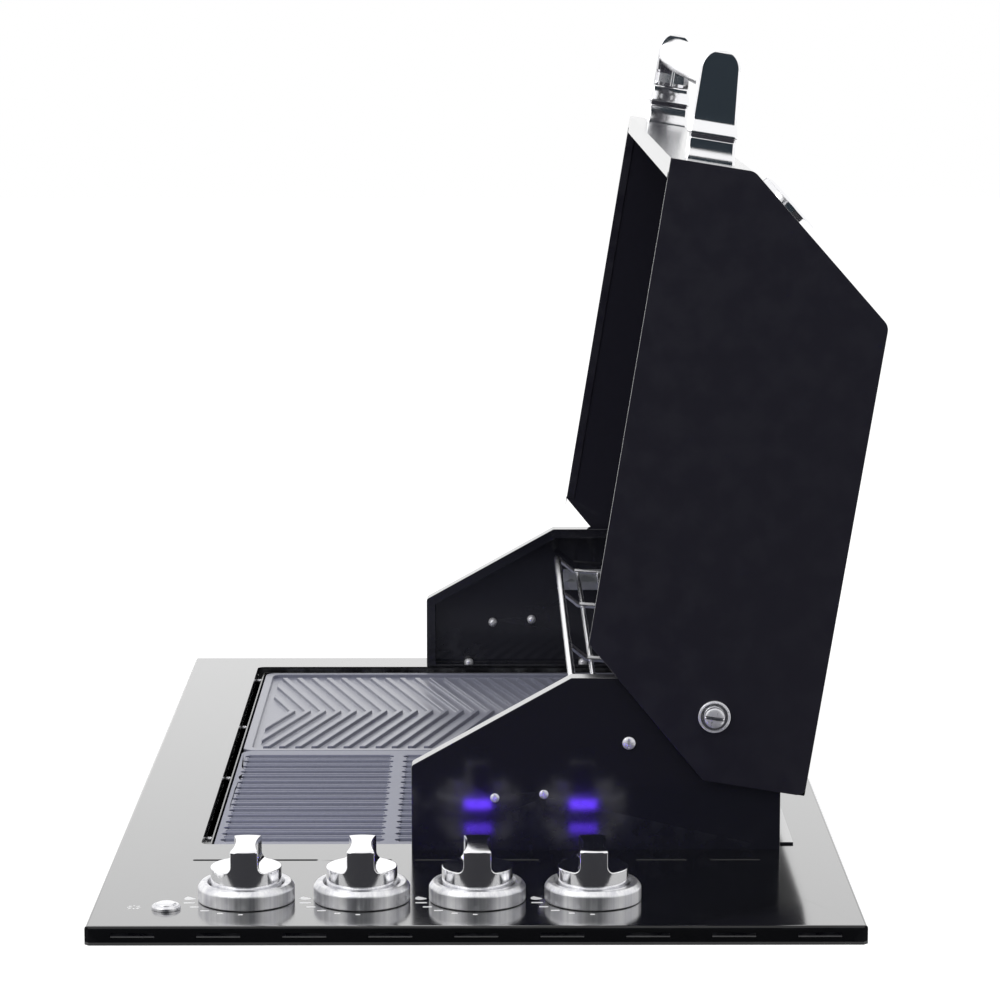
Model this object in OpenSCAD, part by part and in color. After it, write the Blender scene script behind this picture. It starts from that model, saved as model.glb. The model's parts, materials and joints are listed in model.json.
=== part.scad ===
// Built-in gas grill with a hinged hood, shown with the hood open.
// +X is the user's right (control end), -Y is the user's side, +Z is up.
// The origin is the plate's centre, on the plane where the lip rests on the bench.

/* [Top plate] */
// Length of the top plate from left to right
plate_l = 900; // [890:1:960]
// Depth of the top plate from front to back
plate_w = 520; // [510:1:580]
// Height of the folded lip round the plate
lip_h = 13; // [12.5:0.5:18]
// Thickness of the plate's sheet
plate_t = 1.5; // [1.2:0.1:2]
// Width of the return fold that rests on the bench
fold_w = 12; // [8:1:15]
// Outer radius of the plate's folded edges
edge_r = 2.5; // [2.2:0.1:3.5]
// Cut across each corner of the plate
corner_cut = 3; // [1:0.5:6]
// Number of vent slots in the control end of the lip
lip_slots = 9; // [5:1:9]
// Length of a lip slot
lip_slot_l = 29; // [20:1:36]
// Height of a lip slot
lip_slot_h = 3.5; // [2:0.1:4]
// Spacing of the lip slots
lip_slot_pitch = 57; // [50:1:58]
// Distance from the plate's surface down to the lip slots
lip_slot_drop = 4.5; // [3.5:0.1:5]
// Number of vent slits in the plate behind the knobs
plate_slits = 8; // [5:1:8]
// Length of a vent slit
slit_l = 35; // [20:1:42]
// Width of a vent slit
slit_w = 2; // [1.5:0.1:3]
// Spacing of the vent slits
slit_pitch = 52.5; // [45:0.5:54]
// Distance from the right side bracket to the vent slits
slit_gap = 28; // [24:1:34]

/* [Cooking opening] */
// Length of the opening from left to right
opening_l = 640; // [610:1:644]
// Depth of the opening from front to back
opening_w = 400; // [384:1:406]
// Distance from the plate's left end to the opening
opening_inset = 43; // [43:1:48]
// Corner radius of the opening
opening_r = 6; // [3:0.5:6.5]
// Distance from the opening's edge to the inner face of the fire box
trough_w = 6.5; // [6:0.1:7.5]
// Depth of the trough round the opening
trough_d = 8; // [7.5:0.1:8.5]
// Sheet thickness of the liner, the fire box and the folded frames
sheet_t = 1.2; // [1:0.1:1.4]

/* [Fire box] */
// Depth of the fire box below the top plate's surface
box_d = 170; // [166:1:200]
// Width of the fire box's bottom flange
box_flange = 30; // [24:1:34]
// Diameter of the air holes in the fire box
air_hole_d = 20; // [12:1:22]
// Number of air holes along the front and the back
air_holes = 7; // [4:1:8]
// Spacing of the air holes
air_hole_pitch = 72; // [60:1:78]

/* [Cast plates] */
// Distance from the plate's surface down to the cast plates
cast_drop = 4; // [3.5:0.1:5]
// Height of the cast plates
cast_h = 20; // [18:0.5:22]
// Gap round the cast plates
cast_gap = 1; // [0.6:0.1:1.3]
// Thickness of the cast plates' web
cast_t = 7; // [6:0.5:8]
// Width of the cast plates' rim
cast_rim = 7; // [5:0.5:8]
// Corner radius of the cast plates
cast_r = 10; // [6:0.5:12]
// Spacing of the slots in the ribbed plate
slot_pitch = 18; // [17:0.5:20]
// Width of a slot in the ribbed plate
slot_w = 6; // [4:0.5:7]
// Width of the cross bands between the rows of slots
band_w = 8; // [6:0.5:12]
// Width of the taper on each side of a slot
slot_flare = 2; // [0.5:0.1:2.2]
// Depth of the groove between two ridges
groove_d = 3; // [2:0.1:4]
// Spacing of the chevron ribs
rib_pitch = 13.2; // [12:0.1:16]
// Width of a chevron rib at its foot
rib_w = 5; // [3.5:0.1:6]
// Height of a chevron rib
rib_h = 3; // [2:0.1:3.2]
// Sweep of a chevron rib from its point back to its ends
rib_sweep = 41; // [30:1:50]

/* [Side brackets] */
// Length of a side bracket from front to back
bracket_l = 265; // [255:1:275]
// Distance from the hinge to a side bracket's rear edge
bracket_rear = 48.5; // [47.5:0.5:50]
// Height of a side bracket
bracket_h = 126; // [122:1:130]
// Height of a side bracket's front edge
bracket_front_h = 62; // [50:1:75]
// Run of a side bracket's sloping edge
slope_run = 114.5; // [105:0.5:122]
// Depth of a side bracket's folded edges
bracket_t = 15; // [13:0.5:17]
// Width of the return lip along a side bracket's edges
bracket_lip = 8; // [5:0.5:10]
// Gap from the opening to a side bracket
bracket_gap = 2; // [1.6:0.1:3]
// Height of the rear wall
rear_wall_h = 36; // [25:1:38]
// Width of the rear wall's foot
rear_foot_w = 11; // [8:0.5:13]

/* [Hood] */
// Distance from the opening's rear edge forward to the hinge
hinge_inset = 30.5; // [29:0.5:32]
// Height of the hinge above the plate
hinge_h = 99; // [97:0.5:100]
// Angle that the hood opens
hood_open = 99.2; // [92:0.1:100]
// Gap from the closed hood's rim down to the plate
rim_gap = 2; // [1.8:0.1:3.5]
// Height of the hood above its rim
hood_h = 170.8; // [167:0.1:176]
// Height of the hood's front panel
hood_front_h = 59.4; // [50:0.1:70]
// Run of the hood's sloping panel
hood_slope_run = 91.7; // [80:0.1:100]
// Overhang of the hood in front of the opening
hood_overhang = 17.5; // [14:0.5:22]
// Distance from the hinge to the hood's rear panel
hood_rear = 47.5; // [46:0.1:48.5]
// Distance from the hinge forward to the side panel's rear cut
hood_cut = 37.7; // [33:0.1:42]
// Gap between a side bracket and the hood's side
hood_side_gap = 3.8; // [3.4:0.1:5]
// Width of the flange along the hood's front rim
rim_flange = 14.5; // [10:0.5:16]
// Radius of the hood's corners
hood_r = 9; // [4:0.5:12]
// Width of the folded hem along a side panel's rim
hem_w = 7; // [5:0.5:9]

/* [Hinge] */
// Radius of the hinge bolt
bolt_r = 4; // [3:0.1:4.5]
// Radius of the hinge bolt's head
bolt_head_r = 7.5; // [6:0.1:8.5]
// Height of the hinge bolt's head
bolt_head_h = 4.5; // [3:0.1:6]
// Radius of the hinge washer
washer_r = 11; // [9:0.1:12]
// Thickness of the hinge washer
washer_t = 1.6; // [1:0.1:2]
// Radius of the bush between the bracket and the hood
bush_r = 9; // [8:0.1:11]
// Radial running clearance of the hinge and the spindles
run_gap = 0.06; // [0.04:0.01:0.09]

/* [Handle] */
// Radius of the handle tube
tube_r = 14; // [12:0.1:14.4]
// Distance from the front panel to the handle tube's axis
handle_reach = 61; // [56:0.5:66]
// Height of the handle tube's axis above the hood's rim
handle_rise = 27; // [24:0.5:30]
// Distance from the hood's end to a handle bracket
handle_inset = 50; // [40:1:80]
// Width of a handle bracket
handle_bracket_w = 22; // [20:0.5:30]
// Height of a handle bracket at the front panel
handle_foot_h = 37; // [34:0.5:42]
// Distance that a handle bracket's tip stands past the tube's axis
handle_tip = 17; // [16.6:0.1:20]

/* [Thermometer] */
// Outer radius of the thermometer's bezel
gauge_r = 30; // [26:0.5:36]
// Height of the thermometer above the hood
gauge_h = 13; // [11:0.5:16]
// Radius of the thermometer's probe
probe_r = 3; // [2:0.1:3.5]
// Length of the thermometer's probe inside the hood
probe_l = 55; // [40:1:70]

/* [Warming rack] */
// Distance from the hinge forward to the rack's front rail
rack_front = 98.5; // [94:0.5:104]
// Height of the rack's front rail above the plate
rack_rail_h = 101; // [97:0.5:104]
// Height of the rack's cross wires above the plate
rack_wire_h = 82; // [79:0.5:84]
// Spacing of the rack's long wires
rack_pitch = 18.5; // [16:0.1:19]
// Number of long wires behind the front rail
rack_wires = 6; // [3:1:6]
// Spacing of the rack's cross wires
cross_pitch = 231; // [180:1:260]
// Radius of the rack's front rail
rail_r = 3; // [2.4:0.1:3.5]
// Radius of the rack's wires
wire_r = 2.2; // [1.8:0.1:2.6]

/* [Controls] */
// Distance from the plate's right end to the knobs
knob_inset = 68; // [64:1:74]
// Spacing of the knobs
knob_pitch = 78.7; // [72:0.1:86]
// Distance from the plate's front edge to the first knob
knob_front = 103.15; // [98:0.05:110]
// Outer radius of a knob bezel
bezel_r = 33; // [31:0.5:35]
// Height of a knob bezel
bezel_h = 13; // [10:0.5:15]
// Width of a knob bezel's ring
bezel_w = 7.5; // [7:0.1:8.5]
// Radius of a knob's skirt
knob_r = 24.8; // [22:0.1:25]
// Height of a knob's top above the plate
knob_h = 40; // [38:0.5:46]
// Width of a knob's grip bar at its waist
grip_w = 14; // [13:0.5:18]
// Radius of the waist on each side of the grip bar
scoop_r = 100; // [60:5:140]
// Height of a knob's shoulders above the plate
shoulder_h = 23.5; // [20:0.5:28]
// Radius of the fillet between the shoulders and the grip bar
scoop_fillet = 4.5; // [2:0.5:6]
// Push of a knob against its spring
knob_push = 3; // [2:0.1:3.4]
// Radius of a valve spindle
spindle_r = 4; // [3.5:0.1:4.5]
// Distance from the plate's front edge to the ignition button
igniter_front = 50.6; // [46:0.1:56]
// Distance from the plate's right end to the ignition button
igniter_inset = 44; // [42:0.5:50]
// Radius of the ignition button's ring
igniter_r = 9.8; // [9:0.1:12]
// Radius of the ignition button
button_r = 6.8; // [6:0.1:7]
// Push of the ignition button
button_push = 3; // [2:0.1:3.2]

/* [Gas train] */
// Radius of a burner tube
burner_r = 16; // [14:0.5:17]
// Depth of the burners below the plate's surface
burner_d = 108; // [104:1:112]
// Radius of the gas manifold
manifold_r = 9; // [7:0.5:10]
// Radius of a feed pipe
pipe_r = 3; // [2.5:0.1:3.5]
// Radius of the gas inlet's threaded socket
inlet_r = 9.3; // [8:0.1:9.6]
// Length of the gas inlet's thread
inlet_l = 15; // [12:0.5:18]
// Depth of the control box below the plate's surface
control_d = 135; // [132:1:150]

/* [Drip tray] */
// Height of the drip tray
tray_h = 24; // [18:0.5:27]
// Depth of the tray's runners below the fire box
runner_h = 32; // [30:0.5:38]
// Width of the runners' foot
runner_foot = 12; // [10:0.5:16]
// Clearance between the drip tray and its runners
tray_gap = 0.4; // [0.3:0.1:0.8]
// Travel of the drip tray towards the user
tray_travel = 300; // [250:5:320]

/* [Hidden] */

$fn = 48;
// Extra length of a cutter past the face that it opens
over = 1;
// Clearance between pieces that lift or slide apart
clear = 0.3;
// Seam between sheets and tubes that are welded edge to edge
seam = 0.05;

// Plate and opening
top_z = lip_h;
under_z = top_z - plate_t;
cook_x = -plate_l / 2 + opening_inset + opening_l / 2;
well_l = opening_l - 2 * trough_w;
well_w = opening_w - 2 * trough_w;
trough_z = top_z - trough_d;
liner_z = trough_z - sheet_t;
liner_flange = 6;

// Fire box
box_top = liner_z;
box_bottom = top_z - box_d;
burner_z = top_z - burner_d;
burner_count = 4;
burner_pitch = (well_w - 10) / burner_count;
function burner_y(i) = (i - (burner_count - 1) / 2) * burner_pitch;

// Cast plates
cast_top = top_z - cast_drop;
cast_bottom = cast_top - cast_h;
cast_l = (well_l - 3 * cast_gap) / 2;
cast_w = well_w - 2 * cast_gap - 1;
hotplate_x = cook_x - (cast_l + cast_gap) / 2;
grill_x = cook_x + (cast_l + cast_gap) / 2;
ledge_w = 12;
ledge_h = 14;
tamer_z = cast_bottom - 42;
tamer_w = 84;
tamer_rise = 26;

// Hinge and brackets, measured from the middle of the opening
hinge_y = opening_w / 2 - hinge_inset;
hinge_z = top_z + hinge_h;
bracket_in = opening_l / 2 + bracket_gap;
bracket_out = bracket_in + bracket_t;
bracket_back = hinge_y + bracket_rear;
bracket_front = bracket_back - bracket_l;
bracket_web = 1.5;

// Hood, in the hinge's own axes with the hood closed
hood_in = bracket_out + hood_side_gap;
hood_out = hood_in + sheet_t;
rim_z = rim_gap - hinge_h;
front_y = -(opening_w / 2 + hood_overhang + hinge_y);
roof_z = rim_z + hood_h;
knee_z = rim_z + hood_front_h;
knee_y = front_y + hood_slope_run;
rear_in = bracket_in - 3;
hood_outline = [[-hood_cut, rim_z], [front_y, rim_z], [front_y, knee_z], [knee_y, roof_z],
    [hood_rear, roof_z], [hood_rear, 0]];
wrap_outline = [[front_y, rim_z], [front_y, knee_z], [knee_y, roof_z], [hood_rear, roof_z]];

stop_z = (bracket_rear + clear - hood_rear * cos(hood_open)) / sin(hood_open);

// Handle
tube_y = front_y - handle_reach;
tube_z = rim_z + handle_rise;
handle_x = hood_out - handle_inset;
handle_base_z = rim_z + handle_rise - 15.6;
handle_screw_z = [handle_base_z + 8, handle_base_z + handle_foot_h - 8];

// Thermometer
gauge_tilt = atan2(roof_z - knee_z, hood_slope_run);
gauge_case_r = gauge_r - 2.5;
gauge_glass_t = 2;
gauge_dial_t = 1;
needle_l = gauge_case_r - 6;
needle_rest = 135;

// Rack
rack_half = bracket_in - 5;
rack_depth = rack_pitch * rack_wires;
rack_wire_z = top_z + rack_wire_h;
rack_rail_z = top_z + rack_rail_h;
rack_y = hinge_y - rack_front;
shelf_top = rack_wire_z - wire_r - clear;

// Controls
knob_x = plate_l / 2 - knob_inset;
knob_count = 4;
function knob_y(i) = -plate_w / 2 + knob_front + i * knob_pitch;
knob_floor = top_z + knob_push + 1;
knob_top = top_z + knob_h;
spindle_top = top_z + 24;
spindle_foot = under_z - 26;
flat_cut = 1.2;
valve_r = 12;
valve_z = under_z - 20;
valve_face = 14;
valve_cap_d = 33;
igniter_x = plate_l / 2 - igniter_inset;
igniter_y = -plate_w / 2 + igniter_front;
lens_r = bezel_r - 0.4;
lens_t = 1.6;
lens_arc = 44;

// Gas train
manifold_x = knob_x + 28;
manifold_back = knob_y(knob_count - 1) + 34;
manifold_front = knob_y(0) - 24;
inlet_y = manifold_back + 34;
inlet_z = top_z - control_d - 8;
socket_l = inlet_l + 5;
box_wall_x = cook_x + well_l / 2 + sheet_t;
burner_end = cook_x + bracket_out + 16;
collar_w = 5;
collar_h = 3;
burner_slits = 16;
burner_slit_pitch = 33;
rest_w = 24;
injector_x = burner_end + 10;
injector_l = 8;
valve_nose = 4;
pipe_bend = 7;
pipe_lead = 18;
pipe_turn_x = knob_x - valve_face - valve_nose - pipe_lead;
pipe_stand = 16;
pipe_drop_x = injector_x + injector_l + pipe_stand;
pipe_level = valve_z - 40;
control_x0 = cook_x + bracket_out;
control_x1 = plate_l / 2 - fold_w - 5;
control_half = plate_w / 2 - fold_w - 3;
control_bottom = top_z - control_d;
control_mid = (control_x0 + control_x1) / 2;
control_fold = 8;
cover_gap = 0.2;

// Ignition
module_bottom = under_z - 60;
lead_ends = [for (i = [0:burner_count - 1]) [-7.5 + 5 * i, 4]];
lead_x = injector_x + 46;
electrode_side = 20;
electrode_z = burner_z + burner_r + 10;
electrode_r = 1;
ceramic_r = 3;
electrode_end = control_x0 + 10;
electrode_tip = 34;
lead_slack = 30;
lead_step = 5;
lead_drop = 12;

// Drip tray
runner_x = well_l / 2 - box_flange + 8;
runner_bottom = box_bottom - runner_h;
tray_half = runner_x - sheet_t - tray_gap - 1;
tray_bottom = runner_bottom + sheet_t + clear;
tray_len = well_w - 8;
tray_r = 12;
tray_pull_l = 180;

// Points of a convex outline moved inwards by d
function line_meet(p, u, q, v) =
    let (k = ((q[0] - p[0]) * v[1] - (q[1] - p[1]) * v[0]) / (u[0] * v[1] - u[1] * v[0])) p + k * u;
function turn_sign(pts) = let (n = len(pts)) sign([for (i = [0:n - 1])
    pts[i][0] * pts[(i + 1) % n][1] - pts[(i + 1) % n][0] * pts[i][1]] * [for (i = [0:n - 1]) 1]);
function unit(v) = v / norm(v);
function inset_points(pts, d) = let (n = len(pts), s = turn_sign(pts)) [for (i = [0:n - 1])
    let (a = pts[(i + n - 1) % n], b = pts[i], c = pts[(i + 1) % n],
        u = unit(b - a), v = unit(c - b))
    line_meet(a + s * d * [-u[1], u[0]], u, b + s * d * [-v[1], v[0]], v)];

// Points of an outline with each corner turned into an arc of radius r
function arc_corner(a, b, c, r, n) =
    let (u = unit(a - b), v = unit(c - b), half = acos(u * v) / 2, reach = r / tan(half),
        mid = b + unit(u + v) * r / sin(half), p = b + u * reach - mid, q = b + v * reach - mid,
        s = sign(p[0] * q[1] - p[1] * q[0]), sweep = 180 - 2 * half)
    r <= 0 ? [b] : [for (i = [0:n]) let (t = s * sweep * i / n)
        mid + [p[0] * cos(t) - p[1] * sin(t), p[0] * sin(t) + p[1] * cos(t)]];
function round_points(pts, r, n = 5) = let (m = len(pts)) [for (i = [0:m - 1])
    each arc_corner(pts[(i + m - 1) % m], pts[i], pts[(i + 1) % m], is_list(r) ? r[i] : r, n)];

// An outline in Y and Z extruded along X from x0 to x1
module along_x(x0, x1) {
    translate([x0, 0, 0]) rotate([90, 0, 90]) linear_extrude(x1 - x0) children();
}
// An outline in X and Z extruded along Y from y0 to y1
module along_y(y0, y1) {
    translate([0, y1, 0]) rotate([90, 0, 0]) linear_extrude(y1 - y0) children();
}
module rod_x(r, x0, x1) {
    translate([x0, 0, 0]) rotate([0, 90, 0]) cylinder(r = r, h = x1 - x0);
}
module rod_y(r, y0, y1) {
    translate([0, y0, 0]) rotate([-90, 0, 0]) cylinder(r = r, h = y1 - y0);
}
module rod_z(r, z0, z1) {
    translate([0, 0, z0]) cylinder(r = r, h = z1 - z0);
}
module round_rect(l, w, r) {
    polygon(round_points([[-l / 2, -w / 2], [l / 2, -w / 2], [l / 2, w / 2], [-l / 2, w / 2]], r));
}
module slot_2d(l, w) {
    square([l - w, w], center = true);
    for (s = [-1, 1]) translate([s * (l - w) / 2, 0]) circle(d = w, $fn = 24);
}
module frame_2d(l, w, t) {
    difference() {
        square([l + 2 * t, w + 2 * t], center = true);
        square([l, w], center = true);
    }
}

// Centre line through the given points, with an arc of radius bend at each inner point
function half_turn(pts, i) = acos(unit(pts[i] - pts[i - 1]) * unit(pts[i + 1] - pts[i])) / 2;
function bend_points(pts, i, bend, steps) =
    let (u = unit(pts[i] - pts[i - 1]), v = unit(pts[i + 1] - pts[i]), half = half_turn(pts, i),
        start = pts[i] - u * bend * tan(half), middle = pts[i] + unit(v - u) * bend / cos(half),
        e = unit(start - middle))
    [for (k = [0:steps]) let (t = 2 * half * k / steps) middle + bend * (e * cos(t) + u * sin(t))];
function centre_line(pts, bend, steps) = [pts[0],
    for (i = [1:len(pts) - 2]) each bend_points(pts, i, bend, steps), pts[len(pts) - 1]];
function along(path, i) = unit(path[min(i + 1, len(path) - 1)] - path[max(i - 1, 0)]);
function square_to(v, t) = unit(v - (v * t) * t);
function side_vectors(path, i, v) = i == len(path) ? [] :
    let (n = square_to(v, along(path, i))) concat([n], side_vectors(path, i + 1, n));

// A round bar swept along that line, with the given number of sides
module bent_bar(pts, r, bend, sides = 10, steps = 4) {
    path = centre_line(pts, bend, steps);
    t0 = along(path, 0);
    sides_v = side_vectors(path, 0, abs(t0[2]) < 0.9 ? [0, 0, 1] : [1, 0, 0]);
    m = len(path);
    rings = [for (i = [0:m - 1]) let (n = sides_v[i], b = cross(along(path, i), n))
        for (k = [0:sides - 1]) path[i] + r * (n * cos(360 * k / sides) + b * sin(360 * k / sides))];
    polyhedron(rings, concat(
        [for (i = [0:m - 2], k = [0:sides - 1]) let (a = i * sides + k, b = i * sides + (k + 1) % sides)
            each [[a, a + sides, b], [b, a + sides, b + sides]]],
        [for (k = [1:sides - 2]) [0, k, k + 1]],
        [for (k = [1:sides - 2]) [(m - 1) * sides, (m - 1) * sides + k + 1, (m - 1) * sides + k]]));
}

// A pan head screw on z = 0 with its shank below
module pan_screw(head_r, head_h, shank_r, shank_l) {
    difference() {
        intersection() {
            rod_z(head_r, 0, head_h);
            translate([0, 0, head_h - 1.6 * head_r]) sphere(r = 1.6 * head_r);
        }
        translate([0, 0, head_h]) cube([1.4 * head_r, head_r / 4, head_h], center = true);
    }
    rod_z(shank_r, -shank_l, 0);
}
module at_cook() translate([cook_x, 0, 0]) children();
module at_hinge() translate([cook_x, hinge_y, hinge_z]) children();
module open_hood() at_hinge() rotate([-hood_open, 0, 0]) children();
module at_knob(i) translate([knob_x, knob_y(i), 0]) children();

// Positions that holes and screws share
foot_screw_x = bracket_out - 7;
foot_screw_y = [38, 142];
web_screws = [[59.8, 38.4], [95, 41]];
support_screw = [155.9, 78.5];
liner_screw_x = [-294, -100, 85, 276];
liner_screw_side = 134;
screw_r = 2;
screw_hole_r = screw_r + 0.2;
module foot_screw_spots() {
    for (y = foot_screw_y) translate([foot_screw_x, bracket_front + y, 0]) children();
}
module web_spot(p) {
    translate([bracket_out, bracket_front + p[0], top_z + p[1]]) children();
}

module plate_outline(inset) {
    l = plate_l / 2 - inset;
    w = plate_w / 2 - inset;
    c = corner_cut;
    polygon([[-l + c, -w], [l - c, -w], [l, -w + c], [l, w - c], [l - c, w], [-l + c, w],
        [-l, w - c], [-l, -w + c]]);
}
module plate_block(inset, z0, z1, r) {
    intersection() {
        translate([0, 0, z0]) linear_extrude(z1 - z0) plate_outline(inset);
        along_x(-plate_l / 2 - over, plate_l / 2 + over)
            polygon(round_points([[-plate_w / 2 + inset, z0 - over], [plate_w / 2 - inset, z0 - over],
                [plate_w / 2 - inset, z1], [-plate_w / 2 + inset, z1]], [0, 0, r, r]));
        along_y(-plate_w / 2 - over, plate_w / 2 + over)
            polygon(round_points([[-plate_l / 2 + inset, z0 - over], [plate_l / 2 - inset, z0 - over],
                [plate_l / 2 - inset, z1], [-plate_l / 2 + inset, z1]], [0, 0, r, r]));
    }
}
module top_plate() color([0.05, 0.05, 0.055]) difference() {
    union() {
        difference() {
            plate_block(0, 0, top_z, edge_r);
            plate_block(plate_t, -over, under_z, edge_r - plate_t);
        }
        linear_extrude(plate_t) difference() {
            plate_outline(plate_t / 2);
            square([plate_l - 2 * fold_w, plate_w - 2 * fold_w], center = true);
        }
    }
    at_cook() translate([0, 0, under_z - over]) linear_extrude(plate_t + 2 * over)
        round_rect(opening_l, opening_w, opening_r);
    for (i = [0:knob_count - 1]) at_knob(i) rod_z(spindle_r + 2, under_z - over, top_z + over);
    translate([igniter_x, igniter_y, 0]) rod_z(button_r + 1.2, under_z - over, top_z + over);
    for (i = [0:lip_slots - 1]) let (y = (i - (lip_slots - 1) / 2) * lip_slot_pitch)
        translate([plate_l / 2 - plate_t - over, y - lip_slot_l / 2, top_z - lip_slot_drop - lip_slot_h])
            cube([plate_t + 2 * over, lip_slot_l, lip_slot_h]);
    for (i = [0:plate_slits - 1]) let (y = (i - (plate_slits - 1) / 2) * slit_pitch)
        translate([cook_x + bracket_out + slit_gap, y, under_z - over])
            linear_extrude(plate_t + 2 * over) rotate(90) slot_2d(slit_l, slit_w);
    at_cook() for (s = [-1, 1]) scale([s, 1, 1])
        foot_screw_spots() rod_z(screw_hole_r, under_z - over, top_z + over);
}

// Four vertical cuts that part the side walls of a rectangular frame from its front and back walls
module corner_seams(l, w, z0, z1) {
    for (s = [-1, 1]) translate([0, s * (w - seam) / 2, (z0 + z1) / 2])
        cube([l, seam, z1 - z0], center = true);
}

// Liner: the opening's folded edge, and a channel that makes the trough round the cast plates
module opening_liner() color([0.09, 0.09, 0.1]) at_cook() difference() {
    translate([0, 0, liner_z]) {
        linear_extrude(under_z - liner_z) frame_2d(opening_l, opening_w, sheet_t);
        linear_extrude(sheet_t) frame_2d(well_l, well_w, trough_w + sheet_t / 2);
        linear_extrude(cast_top - liner_z) frame_2d(well_l, well_w, sheet_t);
    }
    translate([0, 0, liner_z - over]) linear_extrude(under_z - liner_z + 2 * over)
        frame_2d(opening_l - 2 * seam, opening_w - 2 * seam, seam);
    corner_seams(opening_l + 2 * (sheet_t + over), opening_w, liner_z - over, under_z + over);
    liner_screw_spots() rod_z(screw_hole_r, liner_z - over, trough_z + over);
}
module liner_screw_spots() {
    inside = (trough_w - sheet_t) / 2;
    for (s = [-1, 1], x = liner_screw_x) translate([x, s * (opening_w / 2 - inside), 0]) children();
    for (s = [-1, 1]) translate([s * (opening_l / 2 - inside), -liner_screw_side, 0]) children();
}
module liner_screws() color([0.8, 0.8, 0.82]) at_cook() liner_screw_spots()
    translate([0, 0, trough_z]) pan_screw(screw_r + 0.45, 2.2, screw_r, 2 * sheet_t + 2);

// Fire box: four flanged walls on a flat base frame
module fire_box() color([0.62, 0.63, 0.65]) at_cook() difference() {
    base_top = box_bottom + sheet_t;
    union() {
        translate([0, 0, box_top - sheet_t]) linear_extrude(sheet_t)
            frame_2d(well_l, well_w, trough_w + liner_flange);
        translate([0, 0, box_bottom]) linear_extrude(box_top - box_bottom) frame_2d(well_l, well_w, sheet_t);
        translate([0, 0, box_bottom]) linear_extrude(sheet_t) difference() {
            square([well_l + sheet_t, well_w + sheet_t], center = true);
            square([well_l - 2 * box_flange, well_w - 2 * box_flange], center = true);
        }
    }
    translate([0, 0, base_top]) linear_extrude(seam)
        square([well_l + 2 * box_flange, well_w + 2 * box_flange], center = true);
    corner_seams(well_l + 2 * box_flange, well_w, base_top, box_top + over);
    liner_screw_spots() rod_z(screw_hole_r, box_top - sheet_t - over, box_top + over);
    for (i = [0:burner_count - 1]) {
        translate([0, burner_y(i), burner_z])
            rod_x(burner_r + clear, well_l / 2 - over, well_l / 2 + sheet_t + over);
        translate([0, burner_y(i) + electrode_side, electrode_z])
            rod_x(electrode_r + 0.5, well_l / 2 - over, well_l / 2 + sheet_t + over);
    }
    for (i = [0:air_holes - 1]) translate([(i - (air_holes - 1) / 2) * air_hole_pitch, 0, burner_z - 18])
        rod_y(air_hole_d / 2, -well_w / 2 - sheet_t - over, well_w / 2 + sheet_t + over);
}

// Outline of a folded angle: its top runs inwards from (wall, z), its leg runs down along the wall
module angle_2d(wall, z) {
    t = sheet_t;
    polygon([[wall, z], [wall - ledge_w, z], [wall - ledge_w, z - t], [wall - t, z - t],
        [wall - t, z - ledge_h], [wall, z - ledge_h]]);
}
// Angles that carry the cast plates, on the front and back walls
module cast_ledges() color([0.62, 0.63, 0.65]) at_cook() for (s = [-1, 1]) scale([1, s, 1])
    along_x(-well_l / 2 + 4, well_l / 2 - 4) angle_2d(well_w / 2, cast_bottom - clear);

// Angles that carry the flame tamers, on the left and right walls
module tamer_ledges() color([0.62, 0.63, 0.65]) at_cook() for (s = [-1, 1]) scale([s, 1, 1])
    along_y(-well_w / 2 + 4, well_w / 2 - 4) angle_2d(well_l / 2, tamer_z);

// Folded roofs over the burners
module flame_tamers() color([0.6, 0.6, 0.62]) at_cook() for (i = [0:burner_count - 1])
    translate([0, burner_y(i), tamer_z]) difference() {
        along_x(-well_l / 2 + 3, well_l / 2 - 3) polygon([[-tamer_w / 2, 0], [tamer_w / 2, 0],
            [tamer_w / 2 - 6, sheet_t], [5, tamer_rise], [-5, tamer_rise], [-tamer_w / 2 + 6, sheet_t]]);
        along_x(-well_l / 2, well_l / 2) polygon([[tamer_w / 2 - 8, -over], [tamer_w / 2 - 8, 0],
            [4.4, tamer_rise - sheet_t], [-4.4, tamer_rise - sheet_t], [-tamer_w / 2 + 8, 0],
            [-tamer_w / 2 + 8, -over]]);
    }

// Hanging angles that carry the drip tray
module tray_runners() color([0.55, 0.56, 0.58]) at_cook() for (s = [-1, 1]) scale([s, 1, 1])
    along_y(-well_w / 2 + 2, well_w / 2 - 2) polygon([[runner_x, box_bottom],
        [runner_x - sheet_t, box_bottom], [runner_x - sheet_t, runner_bottom + sheet_t],
        [runner_x - runner_foot, runner_bottom + sheet_t], [runner_x - runner_foot, runner_bottom],
        [runner_x, runner_bottom]]);

// Pressed tray that slides on the runners towards the user
module drip_tray() color([0.6, 0.61, 0.63]) at_cook() difference() {
    front = -tray_len / 2;
    top = tray_bottom + tray_h;
    union() {
        translate([0, 0, tray_bottom]) linear_extrude(tray_h) round_rect(2 * tray_half, tray_len, tray_r);
        along_x(-tray_pull_l / 2, tray_pull_l / 2) polygon([[front + 1, top - 7.5],
            [front - 17, top - 7.5], [front - 17, top - 16.5], [front - 19, top - 16.5],
            [front - 19, top - 4.5], [front + 1, top - 4.5]]);
    }
    translate([0, 0, tray_bottom + sheet_t]) linear_extrude(tray_h)
        round_rect(2 * (tray_half - sheet_t), tray_len - 2 * sheet_t, tray_r - sheet_t);
}

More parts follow.
